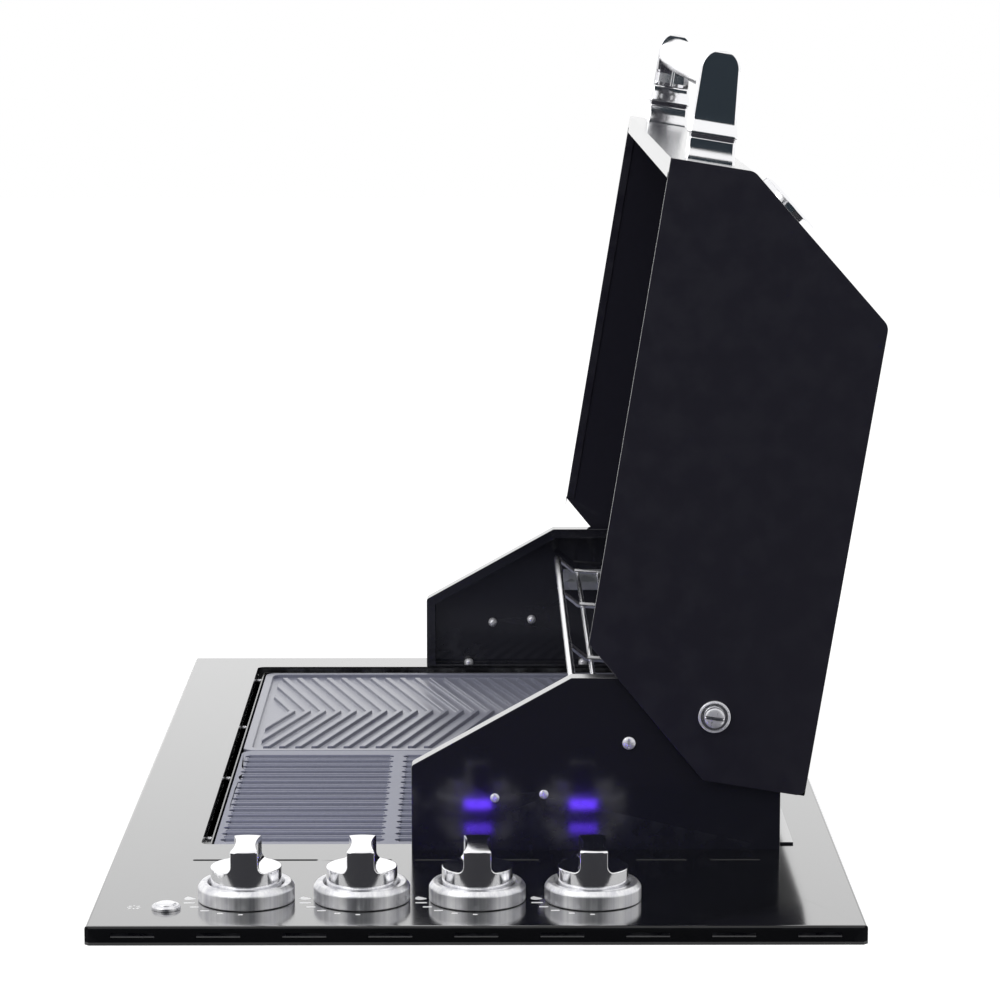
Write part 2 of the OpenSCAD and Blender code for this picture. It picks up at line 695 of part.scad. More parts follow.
// Side bracket as a folded tray: outer web, folded edges and an inner return lip
bracket_outline = [[bracket_front, top_z], [bracket_front, top_z + bracket_front_h],
    [bracket_front + slope_run, top_z + bracket_h], [bracket_back, top_z + bracket_h], [bracket_back, top_z]];
module side_bracket(s) {
    outline = round_points(bracket_outline, [0, 3, 3, 3, 0], 4);
    inner = inset_points(bracket_outline, bracket_web);
    lip = inset_points(bracket_outline, bracket_lip);
    at_cook() scale([s, 1, 1]) difference() {
        union() {
            along_x(bracket_out - bracket_web, bracket_out) polygon(outline);
            along_x(bracket_in, bracket_out - bracket_web / 2) difference() {
                polygon(outline);
                polygon(inner);
            }
            along_x(bracket_in, bracket_in + bracket_web) difference() {
                polygon(outline);
                polygon([[lip[0][0], top_z + bracket_web], lip[1], lip[2], lip[3],
                    [lip[4][0], top_z + bracket_web]]);
            }
        }
        translate([0, hinge_y, hinge_z]) rod_x(bolt_r + run_gap, bracket_in - over, bracket_out + over);
        for (p = concat(web_screws, [support_screw])) web_spot(p)
            rod_x(screw_hole_r, -bracket_web - over, over);
        foot_screw_spots() rod_z(screw_hole_r, top_z - over, top_z + bracket_web + over);
    }
}
module side_bracket_left() color([0.08, 0.08, 0.09]) side_bracket(-1);
module side_bracket_right() color([0.08, 0.08, 0.09]) side_bracket(1);

module rear_wall() color([0.08, 0.08, 0.09]) at_cook() along_x(-bracket_in, bracket_in) polygon([
    [bracket_back - bracket_web, top_z], [bracket_back - bracket_web, top_z + rear_wall_h],
    [bracket_back, top_z + rear_wall_h], [bracket_back, top_z + bracket_web],
    [bracket_back + rear_foot_w, top_z + bracket_web], [bracket_back + rear_foot_w, top_z]]);

// Screws through the brackets' webs and feet
module bracket_screws() color([0.85, 0.85, 0.87]) at_cook() for (s = [-1, 1]) scale([s, 1, 1]) {
    for (p = web_screws) web_spot(p) rotate([0, 90, 0]) pan_screw(3.3, 2, screw_r, bracket_web + 5);
    web_spot(support_screw) rotate([0, 90, 0]) pan_screw(4.7, 2.6, screw_r, bracket_web + 6);
    foot_screw_spots() translate([0, 0, top_z + bracket_web])
        pan_screw(3.6, 2.2, screw_r, bracket_web + plate_t + 3);
}

// Channels on the webs whose inner lips carry the warming rack's end wires
support_inset = 124;
support_front = bracket_front + support_inset;
support_l = 64;
support_x = rack_half - 3;
support_rise = 72;
support_z = top_z + support_rise;
support_web_h = 15;
module rack_supports() color([0.5, 0.51, 0.56]) at_cook() for (s = [-1, 1]) scale([s, 1, 1]) difference() {
    web = bracket_out - bracket_web;
    lip = support_x - sheet_t / 2;
    along_y(support_front, support_front + support_l) polygon([[web, support_z + support_web_h],
        [web - sheet_t, support_z + support_web_h], [web - sheet_t, support_z + sheet_t],
        [lip + sheet_t, support_z + sheet_t], [lip + sheet_t, shelf_top], [lip, shelf_top],
        [lip, support_z], [web, support_z]]);
    web_spot(support_screw) rod_x(screw_hole_r, -bracket_web - sheet_t - over, over);
}

// Hinge: a slotted bolt through washer, hood side, bush and bracket, held by a nut
nut_h = 6.5;
hinge_stack = [bracket_out, hood_in - clear, hood_out + clear, hood_out + clear + washer_t];
module hinge_bolts() color([0.85, 0.85, 0.87]) at_hinge() for (s = [-1, 1]) scale([s, 1, 1]) {
    difference() {
        rod_x(bolt_head_r, hinge_stack[3], hinge_stack[3] + bolt_head_h);
        translate([hinge_stack[3] + bolt_head_h, 0, 0]) rotate([-8, 0, 0])
            cube([2.4, 2 * bolt_head_r + over, 2], center = true);
    }
    rod_x(bolt_r, bracket_out - bracket_web - nut_h - 2.5, hinge_stack[3]);
}
module ring_x(r_out, r_in, x0, x1) {
    difference() {
        rod_x(r_out, x0, x1);
        rod_x(r_in, x0 - over, x1 + over);
    }
}
module hinge_bushes() color([0.75, 0.76, 0.78]) at_hinge() for (s = [-1, 1]) scale([s, 1, 1]) {
    ring_x(bush_r, bolt_r + run_gap, hinge_stack[0], hinge_stack[1]);
    ring_x(washer_r, bolt_r + run_gap, hinge_stack[2], hinge_stack[3]);
}
module hinge_nuts() color([0.75, 0.76, 0.78]) at_hinge() for (s = [-1, 1]) scale([s, 1, 1]) difference() {
    rotate([0, 90, 0]) translate([0, 0, bracket_out - bracket_web - nut_h])
        cylinder(r = 1.8 * bolt_r, h = nut_h, $fn = 6);
    rod_x(bolt_r + run_gap, bracket_in - over, bracket_out);
}

// Hood shell: front, slope and roof at full width, rear panel narrower to pass the brackets.
// The open hood rests with its stop strip on the brackets' rear edges.
module hood_shell() color([0.07, 0.07, 0.085]) open_hood() difference() {
    t = sheet_t;
    inset = inset_points(hood_outline, t);
    outer = round_points(wrap_outline, [0, hood_r, hood_r, 0]);
    inner = round_points([[front_y + t, rim_z - over], inset[2], inset[3], [hood_rear + over, roof_z - t]],
        [0, hood_r - t, hood_r - t, 0]);
    union() {
        along_x(-hood_in, hood_in) difference() {
            polygon(outer);
            polygon(concat(inner, [[hood_rear + over, rim_z - over]]));
        }
        along_x(-hood_in, hood_in) translate([front_y, rim_z]) square([rim_flange, t]);
        along_x(-rear_in, rear_in) translate([hood_rear - t, 0]) square([t, roof_z]);
        along_x(-hood_in, hood_in) translate([hood_rear - t, stop_z]) square([t, roof_z - stop_z]);
    }
    for (s = [-1, 1]) translate([s * (hood_in - 4), front_y + rim_flange, rim_z])
        cube([8 + over, 8, 3 * t], center = true);
    at_gauge() rod_z(probe_r + 1.5, -3 * t, over);
    for (s = [-1, 1], z = handle_screw_z) translate([s * handle_x, front_y, z])
        rod_y(screw_hole_r, -over, t + over);
}
module hood_side(s) {
    open_hood() scale([s, 1, 1]) difference() {
        union() {
            along_x(hood_in, hood_out) polygon(round_points(hood_outline, [3, 3, hood_r, hood_r, 6, 4]));
            along_x(hood_in - sheet_t, hood_in)
                polygon([[-hood_cut - 1, rim_z], [front_y + rim_flange + 1, rim_z],
                    [front_y + rim_flange + 1, rim_z + hem_w], [-hood_cut - 1, rim_z + hem_w]]);
        }
        rod_x(bolt_r + run_gap, hood_in - 3, hood_out + over);
    }
}
module hood_side_left() color([0.09, 0.09, 0.11]) hood_side(-1);
module hood_side_right() color([0.09, 0.09, 0.11]) hood_side(1);

module handle_tube() color([0.85, 0.86, 0.88]) open_hood() translate([0, tube_y, tube_z]) difference() {
    end = handle_x + handle_bracket_w / 2 - 4;
    rod_x(tube_r, -end, end);
    rod_x(tube_r - 1.5, -end - over, end + over);
}
// Handle bracket: tapered arm with a collar and a stepped foot
module handle_brackets() color([0.85, 0.86, 0.88]) open_hood() for (s = [-1, 1])
    translate([s * handle_x, front_y, 0]) scale([s, 1, 1]) difference() {
        w = handle_bracket_w;
        z0 = handle_base_z;
        top = z0 + handle_foot_h;
        tip = -handle_reach - handle_tip;
        union() {
            along_x(-w / 2, w / 2) polygon(round_points([[0, z0 + 1], [tip, z0 + 1],
                [tip, tube_z + handle_tip - 2.5], [0, top - 1]], [0, 13, 13, 0], 8));
            along_x(-w / 2 - 1, w / 2 + 1)
                polygon([[-16, z0], [-24, z0], [-24, top - 1.5], [-16, top - 0.5]]);
            along_x(-w / 2 - 2, w / 2 + 2)
                polygon([[0, z0 - 1], [-10, z0 - 1], [-10, top + 1], [0, top + 2]]);
        }
        translate([0, -handle_reach, tube_z]) rod_x(tube_r + run_gap, -w / 2 - over, w / 2 - 3);
        for (z = handle_screw_z) translate([0, 0, z]) rod_y(screw_r + 0.1, -12, over);
    }
module handle_screws() color([0.85, 0.85, 0.87]) open_hood() for (s = [-1, 1], z = handle_screw_z)
    translate([s * handle_x, front_y + sheet_t, z]) rotate([-90, 0, 0])
        pan_screw(3.6, 2.2, screw_r, sheet_t + 10);

// Thermometer on the middle of the hood's sloping panel, with +Z along the panel's outward normal
module at_gauge() translate([0, (front_y + knee_y) / 2, (knee_z + roof_z) / 2])
    rotate([gauge_tilt, 0, 0]) children();
module thermometer_case() color([0.8, 0.81, 0.83]) open_hood() at_gauge() {
    difference() {
        rod_z(gauge_case_r, 0, gauge_h - 3);
        rod_z(gauge_case_r - 1.5, 2, gauge_h);
    }
    rod_z(probe_r + 1, -14, 0);
    rod_z(probe_r, -probe_l, -14);
}
module thermometer_bezel() color([0.85, 0.86, 0.88]) open_hood() at_gauge() rotate_extrude() let (
    inner = gauge_case_r + run_gap, lip = gauge_case_r - 3.5)
    polygon([[inner, 1], [gauge_r, 1], [gauge_r, gauge_h - 2], [gauge_r - 2, gauge_h],
        [lip, gauge_h], [lip, gauge_h - 1], [inner, gauge_h - 3]]);
module thermometer_dial() color([0.92, 0.92, 0.9]) open_hood() at_gauge() difference() {
    rod_z(gauge_case_r - 1.5, 2, 2 + gauge_dial_t);
    rod_z(1.3, 0, 4);
}
module thermometer_glass() color([0.8, 0.9, 0.95]) open_hood() at_gauge()
    rod_z(gauge_case_r - 1.5, gauge_h - 3 - gauge_glass_t, gauge_h - 3);
module thermometer_nut() color([0.8, 0.81, 0.83]) open_hood() at_gauge() difference() {
    translate([0, 0, -sheet_t - 6]) cylinder(r = 9, h = 6, $fn = 6);
    rod_z(probe_r + 1, -12, 0);
}
module thermometer_needle() color([0.75, 0.1, 0.08]) open_hood() at_gauge() {
    hub = 2 + gauge_dial_t;
    rod_z(1.2, 2 + clear, hub + 2.2);
    translate([0, 0, hub + clear]) rotate(needle_rest) linear_extrude(0.8)
        polygon([[-2.4, -6], [2.4, -6], [1.6, 0], [0.5, needle_l], [-0.5, needle_l], [-1.6, 0]]);
}

// Blank of a cast plate, open below its web
module cast_blank() {
    difference() {
        translate([0, 0, cast_bottom]) linear_extrude(cast_h) round_rect(cast_l, cast_w, cast_r);
        translate([0, 0, cast_bottom - over]) linear_extrude(cast_h - cast_t + over)
            round_rect(cast_l - 2 * cast_rim, cast_w - 2 * cast_rim, cast_r - cast_rim / 2);
    }
}
// Cast hotplate: recessed floor with chevron ribs inside a rim
module hotplate() color([0.55, 0.57, 0.62]) translate([hotplate_x, 0, 0]) {
    floor_z = cast_top - rib_h - 0.6;
    arm = cast_l / 2 - cast_rim - 11;
    half = rib_w / 2;
    first = -cast_w / 2 + 32;
    ribs = floor((cast_w - cast_rim - 34) / rib_pitch) + 2;
    difference() {
        cast_blank();
        translate([0, 0, floor_z]) linear_extrude(rib_h + over)
            round_rect(cast_l - 2 * cast_rim, cast_w - 2 * cast_rim, cast_r - 2);
    }
    translate([0, 0, floor_z - 0.2]) linear_extrude(rib_h + 0.2) intersection() {
        square([2 * arm, cast_w - 2 * cast_rim - 12], center = true);
        for (k = [0:ribs - 1]) translate([0, first + k * rib_pitch]) polygon([[0, half],
            [arm + over, half - rib_sweep], [arm + over, -half - rib_sweep], [0, -half],
            [-arm - over, -half - rib_sweep], [-arm - over, half - rib_sweep]]);
    }
}

// Cast grill plate: rows of slots between tapered ridges, with a shallow groove along each ridge
module grill_plate() color([0.45, 0.46, 0.52]) translate([grill_x, 0, 0]) difference() {
    rows = 3;
    margin = 4;
    slots = floor((cast_l - 2 * margin) / slot_pitch);
    slot_l = (cast_w - 2 * margin - (rows - 1) * band_w) / rows;
    cast_blank();
    for (r = [0:rows - 1], i = [0:slots - 1])
        translate([(i - (slots - 1) / 2) * slot_pitch, (r - (rows - 1) / 2) * (slot_l + band_w), 0]) {
            translate([0, 0, cast_top - cast_t - over]) linear_extrude(cast_t + 2 * over)
                rotate(90) slot_2d(slot_l, slot_w);
            along_y(-slot_l / 2 + slot_w / 2, slot_l / 2 - slot_w / 2)
                polygon([[-slot_w / 2, cast_top - groove_d - 1], [slot_w / 2, cast_top - groove_d - 1],
                    [slot_w / 2 + slot_flare, cast_top], [slot_w / 2 + slot_flare, cast_top + over],
                    [-slot_w / 2 - slot_flare, cast_top + over], [-slot_w / 2 - slot_flare, cast_top]]);
            if (i < slots - 1) translate([slot_pitch / 2, 0, 0]) along_y(-slot_l / 2 + 2, slot_l / 2 - 2)
                polygon([[-2, cast_top + over], [2, cast_top + over], [0.6, cast_top - groove_d],
                    [-0.6, cast_top - groove_d]]);
        }
}

// Warming rack: raised front rail, long wires welded across bent cross wires
module warming_rack() color([0.8, 0.81, 0.83]) at_cook() {
    back = rack_y + rack_depth + 5;
    spans = floor(2 * support_x / cross_pitch);
    translate([0, rack_y, rack_rail_z]) rod_x(rail_r, -rack_half, rack_half);
    for (i = [1:rack_wires]) translate([0, rack_y + i * rack_pitch, rack_wire_z + 2 * wire_r - 0.4])
        rod_x(wire_r, -rack_half, rack_half);
    for (x = concat([-support_x], [for (k = [0:spans]) support_x - k * cross_pitch]))
        bent_bar([[x, rack_y, rack_rail_z], [x, rack_y + 10.5, rack_wire_z], [x, back, rack_wire_z]],
            wire_r, 8);
}

// Burners: slotted tubes, each with a collar round its mixing end outside the fire box
module burner_tubes() color([0.7, 0.7, 0.71]) for (i = [0:burner_count - 1])
    translate([0, burner_y(i), burner_z]) difference() {
        left = cook_x - well_l / 2 + 14;
        union() {
            rod_x(burner_r, left, burner_end);
            rod_x(burner_r + collar_h, burner_end - collar_w, burner_end);
        }
        ring_x(burner_r + seam, burner_r, burner_end - collar_w - over, burner_end + over);
        rod_x(burner_r - 1.2, left + 1.2, burner_end + over);
        for (k = [0:burner_slits - 1]) translate([left + 40 + k * burner_slit_pitch, 0, burner_r])
            cube([14, 2, 8], center = true);
    }
// Cross bar at the left wall with a saddle for each burner
module burner_rest() color([0.55, 0.56, 0.58]) translate([cook_x - well_l / 2, 0, 0]) difference() {
    foot = burner_z - burner_r - 8;
    translate([0, -well_w / 2 + 2, foot]) cube([rest_w, well_w - 4, burner_z - foot]);
    translate([sheet_t, -well_w / 2, foot + sheet_t]) cube([rest_w - 2 * sheet_t, well_w, burner_r + 8]);
    for (i = [0:burner_count - 1]) translate([0, burner_y(i), burner_z])
        rod_x(burner_r + 0.1, sheet_t, rest_w + over);
}

module gas_manifold() color([0.72, 0.6, 0.3]) {
    translate([manifold_x, 0, valve_z]) difference() {
        rod_y(manifold_r, manifold_front, manifold_back);
        rod_y(manifold_r - 1.5, manifold_front + 3, manifold_back + over);
    }
    for (i = [0:knob_count - 1]) translate([0, knob_y(i), valve_z])
        intersection() {
            rod_x(5, knob_x + valve_face, manifold_x);
            difference() {
                translate([knob_x, -20, -20]) cube([60, 40, 40]);
                translate([manifold_x, 0, 0]) rod_y(manifold_r - 0.8, -20, 20);
            }
        }
}
// Valve bodies under the plate, each with a fixing flange and an outlet to the left
module gas_valves() color([0.75, 0.62, 0.32]) for (i = [0:knob_count - 1]) at_knob(i) difference() {
    union() {
        translate([-22, -10, under_z - 3]) cube([44, 20, 3]);
        rod_z(valve_r, under_z - valve_cap_d, under_z - 3);
        translate([0, 0, valve_z]) rod_x(7, -valve_face - valve_nose, valve_face);
    }
    rod_z(spindle_r + run_gap, under_z - valve_cap_d + 4, under_z + over);
}
module feed_pipes() color([0.75, 0.5, 0.35]) for (i = [0:knob_count - 1])
    bent_bar([[knob_x - valve_face - valve_nose, knob_y(i), valve_z], [pipe_turn_x, knob_y(i), valve_z],
        [pipe_turn_x, knob_y(i), pipe_level], [pipe_drop_x, burner_y(i), pipe_level],
        [pipe_drop_x, burner_y(i), burner_z], [injector_x + injector_l, burner_y(i), burner_z]],
        pipe_r, pipe_bend);
// Injector holders that face the burners' open ends
module injectors() color([0.75, 0.62, 0.32]) for (i = [0:burner_count - 1])
    translate([injector_x, burner_y(i), burner_z]) {
        foot = control_bottom + sheet_t + clear - burner_z;
        rotate([0, 90, 0]) translate([0, 0, -4]) cylinder(r = 7, h = injector_l + 4, $fn = 6);
        rod_x(4, -14, -4);
        translate([-3, -9, foot]) cube([1.5, 18, -6 - foot]);
    }
// Pipe that bends down from the manifold to the inlet's socket
module inlet_pipe() color([0.75, 0.62, 0.32]) {
    bend = 16;
    translate([manifold_x, 0, valve_z]) rod_y(manifold_r - 2, manifold_back, inlet_y - bend);
    translate([manifold_x, inlet_y - bend, valve_z - bend]) rotate([90, 0, 90])
        rotate_extrude(angle = 90) translate([bend, 0]) circle(r = manifold_r - 2);
    translate([manifold_x, inlet_y, 0]) rod_z(manifold_r - 2, inlet_z + socket_l, valve_z - bend);
}
module gas_inlet() color([0.75, 0.62, 0.32]) translate([manifold_x, inlet_y, inlet_z]) difference() {
    cylinder(r = inlet_r + 4.5, h = socket_l, $fn = 6);
    rod_z(inlet_r, -over, inlet_l);
}

// Box that covers the valves and the burners' mixing ends
module control_box() color([0.08, 0.08, 0.09]) difference() {
    l = control_x1 - control_x0;
    w = 2 * control_half;
    union() {
        translate([control_mid, 0, control_bottom]) linear_extrude(under_z - control_bottom)
            frame_2d(l - 2 * sheet_t, w - 2 * sheet_t, sheet_t);
        for (z = [control_bottom + sheet_t, under_z - sheet_t]) translate([control_mid, 0, z])
            linear_extrude(sheet_t)
                frame_2d(l - 2 * control_fold, w - 2 * control_fold, control_fold - sheet_t / 2);
    }
    for (i = [0:burner_count - 1]) {
        translate([0, burner_y(i), burner_z])
            rod_x(burner_r + 5, control_x0 - over, control_x0 + sheet_t + over);
        translate([0, burner_y(i) + electrode_side, electrode_z])
            rod_x(ceramic_r + 0.8, control_x0 - over, control_x0 + sheet_t + over);
    }
    at_cook() foot_screw_spots() rod_z(screw_r + over, under_z - 2 * sheet_t, under_z + over);
    translate([igniter_x, igniter_y, 0]) rod_z(button_r + 4, under_z - 2 * sheet_t, under_z + over);
    inlet_way();
}
module control_box_cover() color([0.6, 0.61, 0.63]) difference() {
    translate([control_mid, 0, control_bottom]) linear_extrude(sheet_t) square([control_x1 - control_x0
        - 2 * (sheet_t + cover_gap), 2 * (control_half - sheet_t - cover_gap)], center = true);
    inlet_way();
}
module inlet_way() {
    translate([manifold_x, inlet_y, control_bottom - over]) cylinder(r = inlet_r + 5, h = 4 * sheet_t);
}

// Ignition: ring and button on the plate, pulse box below, one electrode a burner
module igniter_ring() color([0.8, 0.81, 0.83]) translate([igniter_x, igniter_y, 0]) rotate_extrude()
    polygon([[button_r + run_gap, top_z], [igniter_r, top_z], [igniter_r, top_z + 2],
        [igniter_r - 1.2, top_z + 3.2], [button_r + run_gap, top_z + 3.2]]);
module igniter_button() color([0.85, 0.86, 0.88]) translate([igniter_x, igniter_y, 0]) rotate_extrude()
    polygon([[0, under_z - 3], [button_r - 2, under_z - 3], [button_r - 2, under_z + 0.5],
        [button_r, under_z + 0.5], [button_r, top_z + 3.6], [button_r - 1, top_z + 4.4], [0, top_z + 4.8]]);
module igniter_module() color([0.12, 0.12, 0.13]) translate([igniter_x, igniter_y, 0]) {
    difference() {
        union() {
            rod_z(button_r + 3.5, under_z - 22, under_z);
            rod_z(button_r + 6, module_bottom, under_z - 22);
        }
        rod_z(button_r - 2 + run_gap, under_z - 9, under_z + over);
        rod_z(button_r + run_gap, under_z - button_push - clear, under_z + over);
    }
    for (k = lead_ends) translate([k[0], k[1], 0]) rod_z(1.6, module_bottom - 6, module_bottom);
}
module electrodes() color([0.9, 0.89, 0.85]) for (i = [0:burner_count - 1])
    translate([0, burner_y(i) + electrode_side, electrode_z]) {
        rod_x(ceramic_r, box_wall_x, electrode_end);
        rod_x(electrode_r, box_wall_x - electrode_tip, box_wall_x);
        difference() {
            translate([box_wall_x, -8, -5]) cube([1.5, 16, 10]);
            rod_x(ceramic_r + 0.1, box_wall_x - over, box_wall_x + 3);
        }
    }
// Insulated leads from the pulse box to the electrodes
module ignition_leads() color([0.7, 0.08, 0.06]) for (i = [0:burner_count - 1]) let (
    x = igniter_x + lead_ends[i][0], y = igniter_y + lead_ends[i][1], y2 = burner_y(i) + electrode_side,
    x2 = lead_x + lead_step * i, drop = module_bottom - lead_drop - lead_step * i)
    bent_bar([[x, y, module_bottom - 6], [x, y, drop], [x2, y + lead_slack, drop], [x2, y2, drop],
        [x2, y2, electrode_z], [electrode_end, y2, electrode_z]], 1.2, 3, 8, 3);

// Knob bezel: rounded ring with an inner step and a pocket for its lens
module knob_bezel() {
    inner = bezel_r - bezel_w;
    rim = top_z + bezel_h;
    difference() {
        rotate_extrude($fn = 96) polygon(round_points([[inner, top_z], [bezel_r, top_z],
            [bezel_r, top_z + 0.75 * bezel_h], [bezel_r - 2.5, rim], [inner + 1, rim], [inner, rim - 3]],
            [0, 1, 3, 1.6, 1, 0.5]));
        lens_wedge(0.05, over);
    }
}
module lens_wedge(gap, out) {
    rotate([0, 0, 180 - lens_arc / 2 - gap]) rotate_extrude(angle = lens_arc + 2 * gap, $fn = 96)
        translate([lens_r - lens_t - gap, top_z + 2.5 - gap]) square([lens_t + 2 * gap + out, 4 + 2 * gap]);
}
module knob_bezels() color([0.75, 0.76, 0.78]) for (i = [0:knob_count - 1]) at_knob(i) knob_bezel();
module indicator_lenses() color([0.25, 0.15, 0.95]) for (i = [0:knob_count - 1]) at_knob(i) lens_wedge(0, 0);

module valve_spindle(i) {
    at_knob(i) difference() {
        rod_z(spindle_r, spindle_foot, spindle_top);
        spindle_flat(top_z + 0.5, 0);
    }
}
// Cutter for the flat that turns the spindle with its knob
module spindle_flat(z, gap) {
    translate([-spindle_r - over, spindle_r - flat_cut + gap, z])
        cube([2 * (spindle_r + over), 2 * flat_cut, spindle_top]);
}
module valve_spindle_1() color([0.75, 0.62, 0.32]) valve_spindle(0);
module valve_spindle_2() color([0.75, 0.62, 0.32]) valve_spindle(1);
module valve_spindle_3() color([0.75, 0.62, 0.32]) valve_spindle(2);
module valve_spindle_4() color([0.75, 0.62, 0.32]) valve_spindle(3);

// Knob: turned skirt and barrel with a filleted scoop on each side of the waisted grip bar
module burner_knob(i) {
    at_knob(i) difference() {
        rotate_extrude($fn = 96) polygon(round_points([[0, knob_floor], [knob_r, knob_floor],
            [knob_r, knob_floor + 3], [knob_r - 0.5, knob_floor + 4], [knob_r - 0.7, knob_top - 0.8],
            [0, knob_top]], [0, 0.6, 0.5, 0.5, 1.6, 0], 4));
        for (s = [-1, 1]) translate([0, s * (grip_w / 2 + scoop_r), 0]) rotate_extrude($fn = 180)
            polygon(round_points([[0, top_z + shoulder_h], [scoop_r, top_z + shoulder_h],
                [scoop_r, knob_top + over], [0, knob_top + over]], [0, scoop_fillet, 0, 0], 5));
        difference() {
            rod_z(spindle_r + run_gap, knob_floor - over, spindle_top + knob_push + 1);
            spindle_flat(knob_floor - 2 * over, run_gap);
        }
    }
}
module burner_knob_1() color([0.85, 0.86, 0.88]) burner_knob(0);
module burner_knob_2() color([0.85, 0.86, 0.88]) burner_knob(1);
module burner_knob_3() color([0.85, 0.86, 0.88]) burner_knob(2);
module burner_knob_4() color([0.85, 0.86, 0.88]) burner_knob(3);

top_plate();
opening_liner();
fire_box();
cast_ledges();
tamer_ledges();
tray_runners();
side_bracket_left();
side_bracket_right();
rear_wall();
bracket_screws();
liner_screws();
rack_supports();
hinge_bolts();
hinge_bushes();
hinge_nuts();
burner_tubes();
flame_tamers();
burner_rest();
gas_manifold();
gas_valves();
feed_pipes();
injectors();
inlet_pipe();
gas_inlet();
control_box();
control_box_cover();
igniter_module();
igniter_ring();
electrodes();
ignition_leads();
knob_bezels();
indicator_lenses();
hood_shell();
hood_side_left();
hood_side_right();
handle_tube();
handle_brackets();
handle_screws();
thermometer_case();
thermometer_bezel();
thermometer_dial();
thermometer_glass();
thermometer_nut();
thermometer_needle();
hotplate();
grill_plate();
warming_rack();
drip_tray();
igniter_button();
valve_spindle_1();
valve_spindle_2();
valve_spindle_3();
valve_spindle_4();
burner_knob_1();
burner_knob_2();
burner_knob_3();
burner_knob_4();
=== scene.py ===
import math
import json

import bmesh
import bpy
from mathutils import Matrix, Vector

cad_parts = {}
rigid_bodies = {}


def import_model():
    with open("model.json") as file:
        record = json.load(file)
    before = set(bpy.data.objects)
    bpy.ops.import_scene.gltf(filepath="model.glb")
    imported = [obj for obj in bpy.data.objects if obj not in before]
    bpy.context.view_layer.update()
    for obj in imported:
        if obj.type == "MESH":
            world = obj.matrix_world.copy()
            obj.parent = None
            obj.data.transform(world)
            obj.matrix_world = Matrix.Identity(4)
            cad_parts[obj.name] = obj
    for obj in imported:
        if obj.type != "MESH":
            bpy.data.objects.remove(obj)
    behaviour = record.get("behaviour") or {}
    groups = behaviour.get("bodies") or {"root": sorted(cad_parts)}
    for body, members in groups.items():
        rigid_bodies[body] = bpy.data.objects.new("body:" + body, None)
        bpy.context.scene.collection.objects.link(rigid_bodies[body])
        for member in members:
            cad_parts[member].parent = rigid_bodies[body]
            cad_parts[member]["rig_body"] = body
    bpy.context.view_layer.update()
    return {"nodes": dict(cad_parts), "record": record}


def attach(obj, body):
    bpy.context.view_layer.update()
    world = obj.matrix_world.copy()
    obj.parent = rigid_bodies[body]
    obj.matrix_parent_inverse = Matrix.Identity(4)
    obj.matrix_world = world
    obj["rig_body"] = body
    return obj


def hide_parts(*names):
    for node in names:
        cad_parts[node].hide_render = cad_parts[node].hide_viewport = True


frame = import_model()
nodes = frame["nodes"]
scene = bpy.context.scene
mm = 0.001

# places that pieces share, in millimetres as in the part's source
grill = {
    "top": 13.0,
    "cookX": -87.0,
    "hingeY": 169.5,
    "hingeZ": 112.0,
    "hoodOpen": 99.2,
    "knobX": 382.0,
    "knobY": (-156.85, -78.15, 0.55, 79.25),
}
openHood = (
    Matrix.Translation(Vector((grill["cookX"], grill["hingeY"], grill["hingeZ"])) * mm)
    @ Matrix.Rotation(math.radians(-grill["hoodOpen"]), 4, "X")
)

# the camera stands where the photograph was taken from
photoView = {
    "place": (2.6664, 0.006, 0.6414), "pitch": 8.79, "yaw": 0.25,
    "lens": 124.26, "sensor": 36.0, "clip": (0.05, 60),
}


def addObject(name, data):
    made = bpy.data.objects.new(name, data)
    scene.collection.objects.link(made)
    return made


def addCamera():
    lens = bpy.data.cameras.new("photoView")
    lens.lens = photoView["lens"]
    lens.sensor_width = photoView["sensor"]
    lens.clip_start, lens.clip_end = photoView["clip"]
    camera = addObject("photoView", lens)
    pitch, yaw = math.radians(photoView["pitch"]), math.radians(photoView["yaw"])
    ahead = Vector((
        -math.cos(pitch) * math.cos(yaw), math.cos(pitch) * math.sin(yaw), -math.sin(pitch)))
    camera.location = photoView["place"]
    camera.rotation_euler = ahead.to_track_quat("-Z", "Y").to_euler()
    scene.camera = camera


addCamera()
print("camera placed")


# Shader node helpers

floatKind, vectorKind = "NodeSocketFloat", "NodeSocketVector"


def addNode(tree, kind, **values):
    made = tree.nodes.new(kind)
    for key, value in values.items():
        if hasattr(made, key):
            setattr(made, key, value)
        else:
            made.inputs[key.replace("_", " ")].default_value = value
    return made


def linkOrSet(tree, socket, value):
    if isinstance(value, bpy.types.NodeSocket):
        tree.links.new(value, socket)
    else:
        socket.default_value = value


def mathNode(tree, operation, *terms):
    made = addNode(tree, "ShaderNodeMath", operation=operation)
    for socket, term in zip(made.inputs, terms):
        linkOrSet(tree, socket, term)
    return made.outputs[0]


def rangeNode(tree, value, low, high, toLow=0.0, toHigh=1.0):
    mapped = tree.nodes.new("ShaderNodeMapRange")
    tree.links.new(value, mapped.inputs["Value"])
    for label, number in zip(("From Min", "From Max", "To Min", "To Max"), (low, high, toLow, toHigh)):
        mapped.inputs[label].default_value = number
    return mapped.outputs["Result"]


def mixColour(tree, mask, first, second):
    mix = tree.nodes.new("ShaderNodeMix")
    mix.data_type = "RGBA"
    for socket, value in ((mix.inputs[0], mask), (mix.inputs[6], first), (mix.inputs[7], second)):
        linkOrSet(tree, socket, (*value, 1.0) if isinstance(value, tuple) else value)
    return mix.outputs[2]


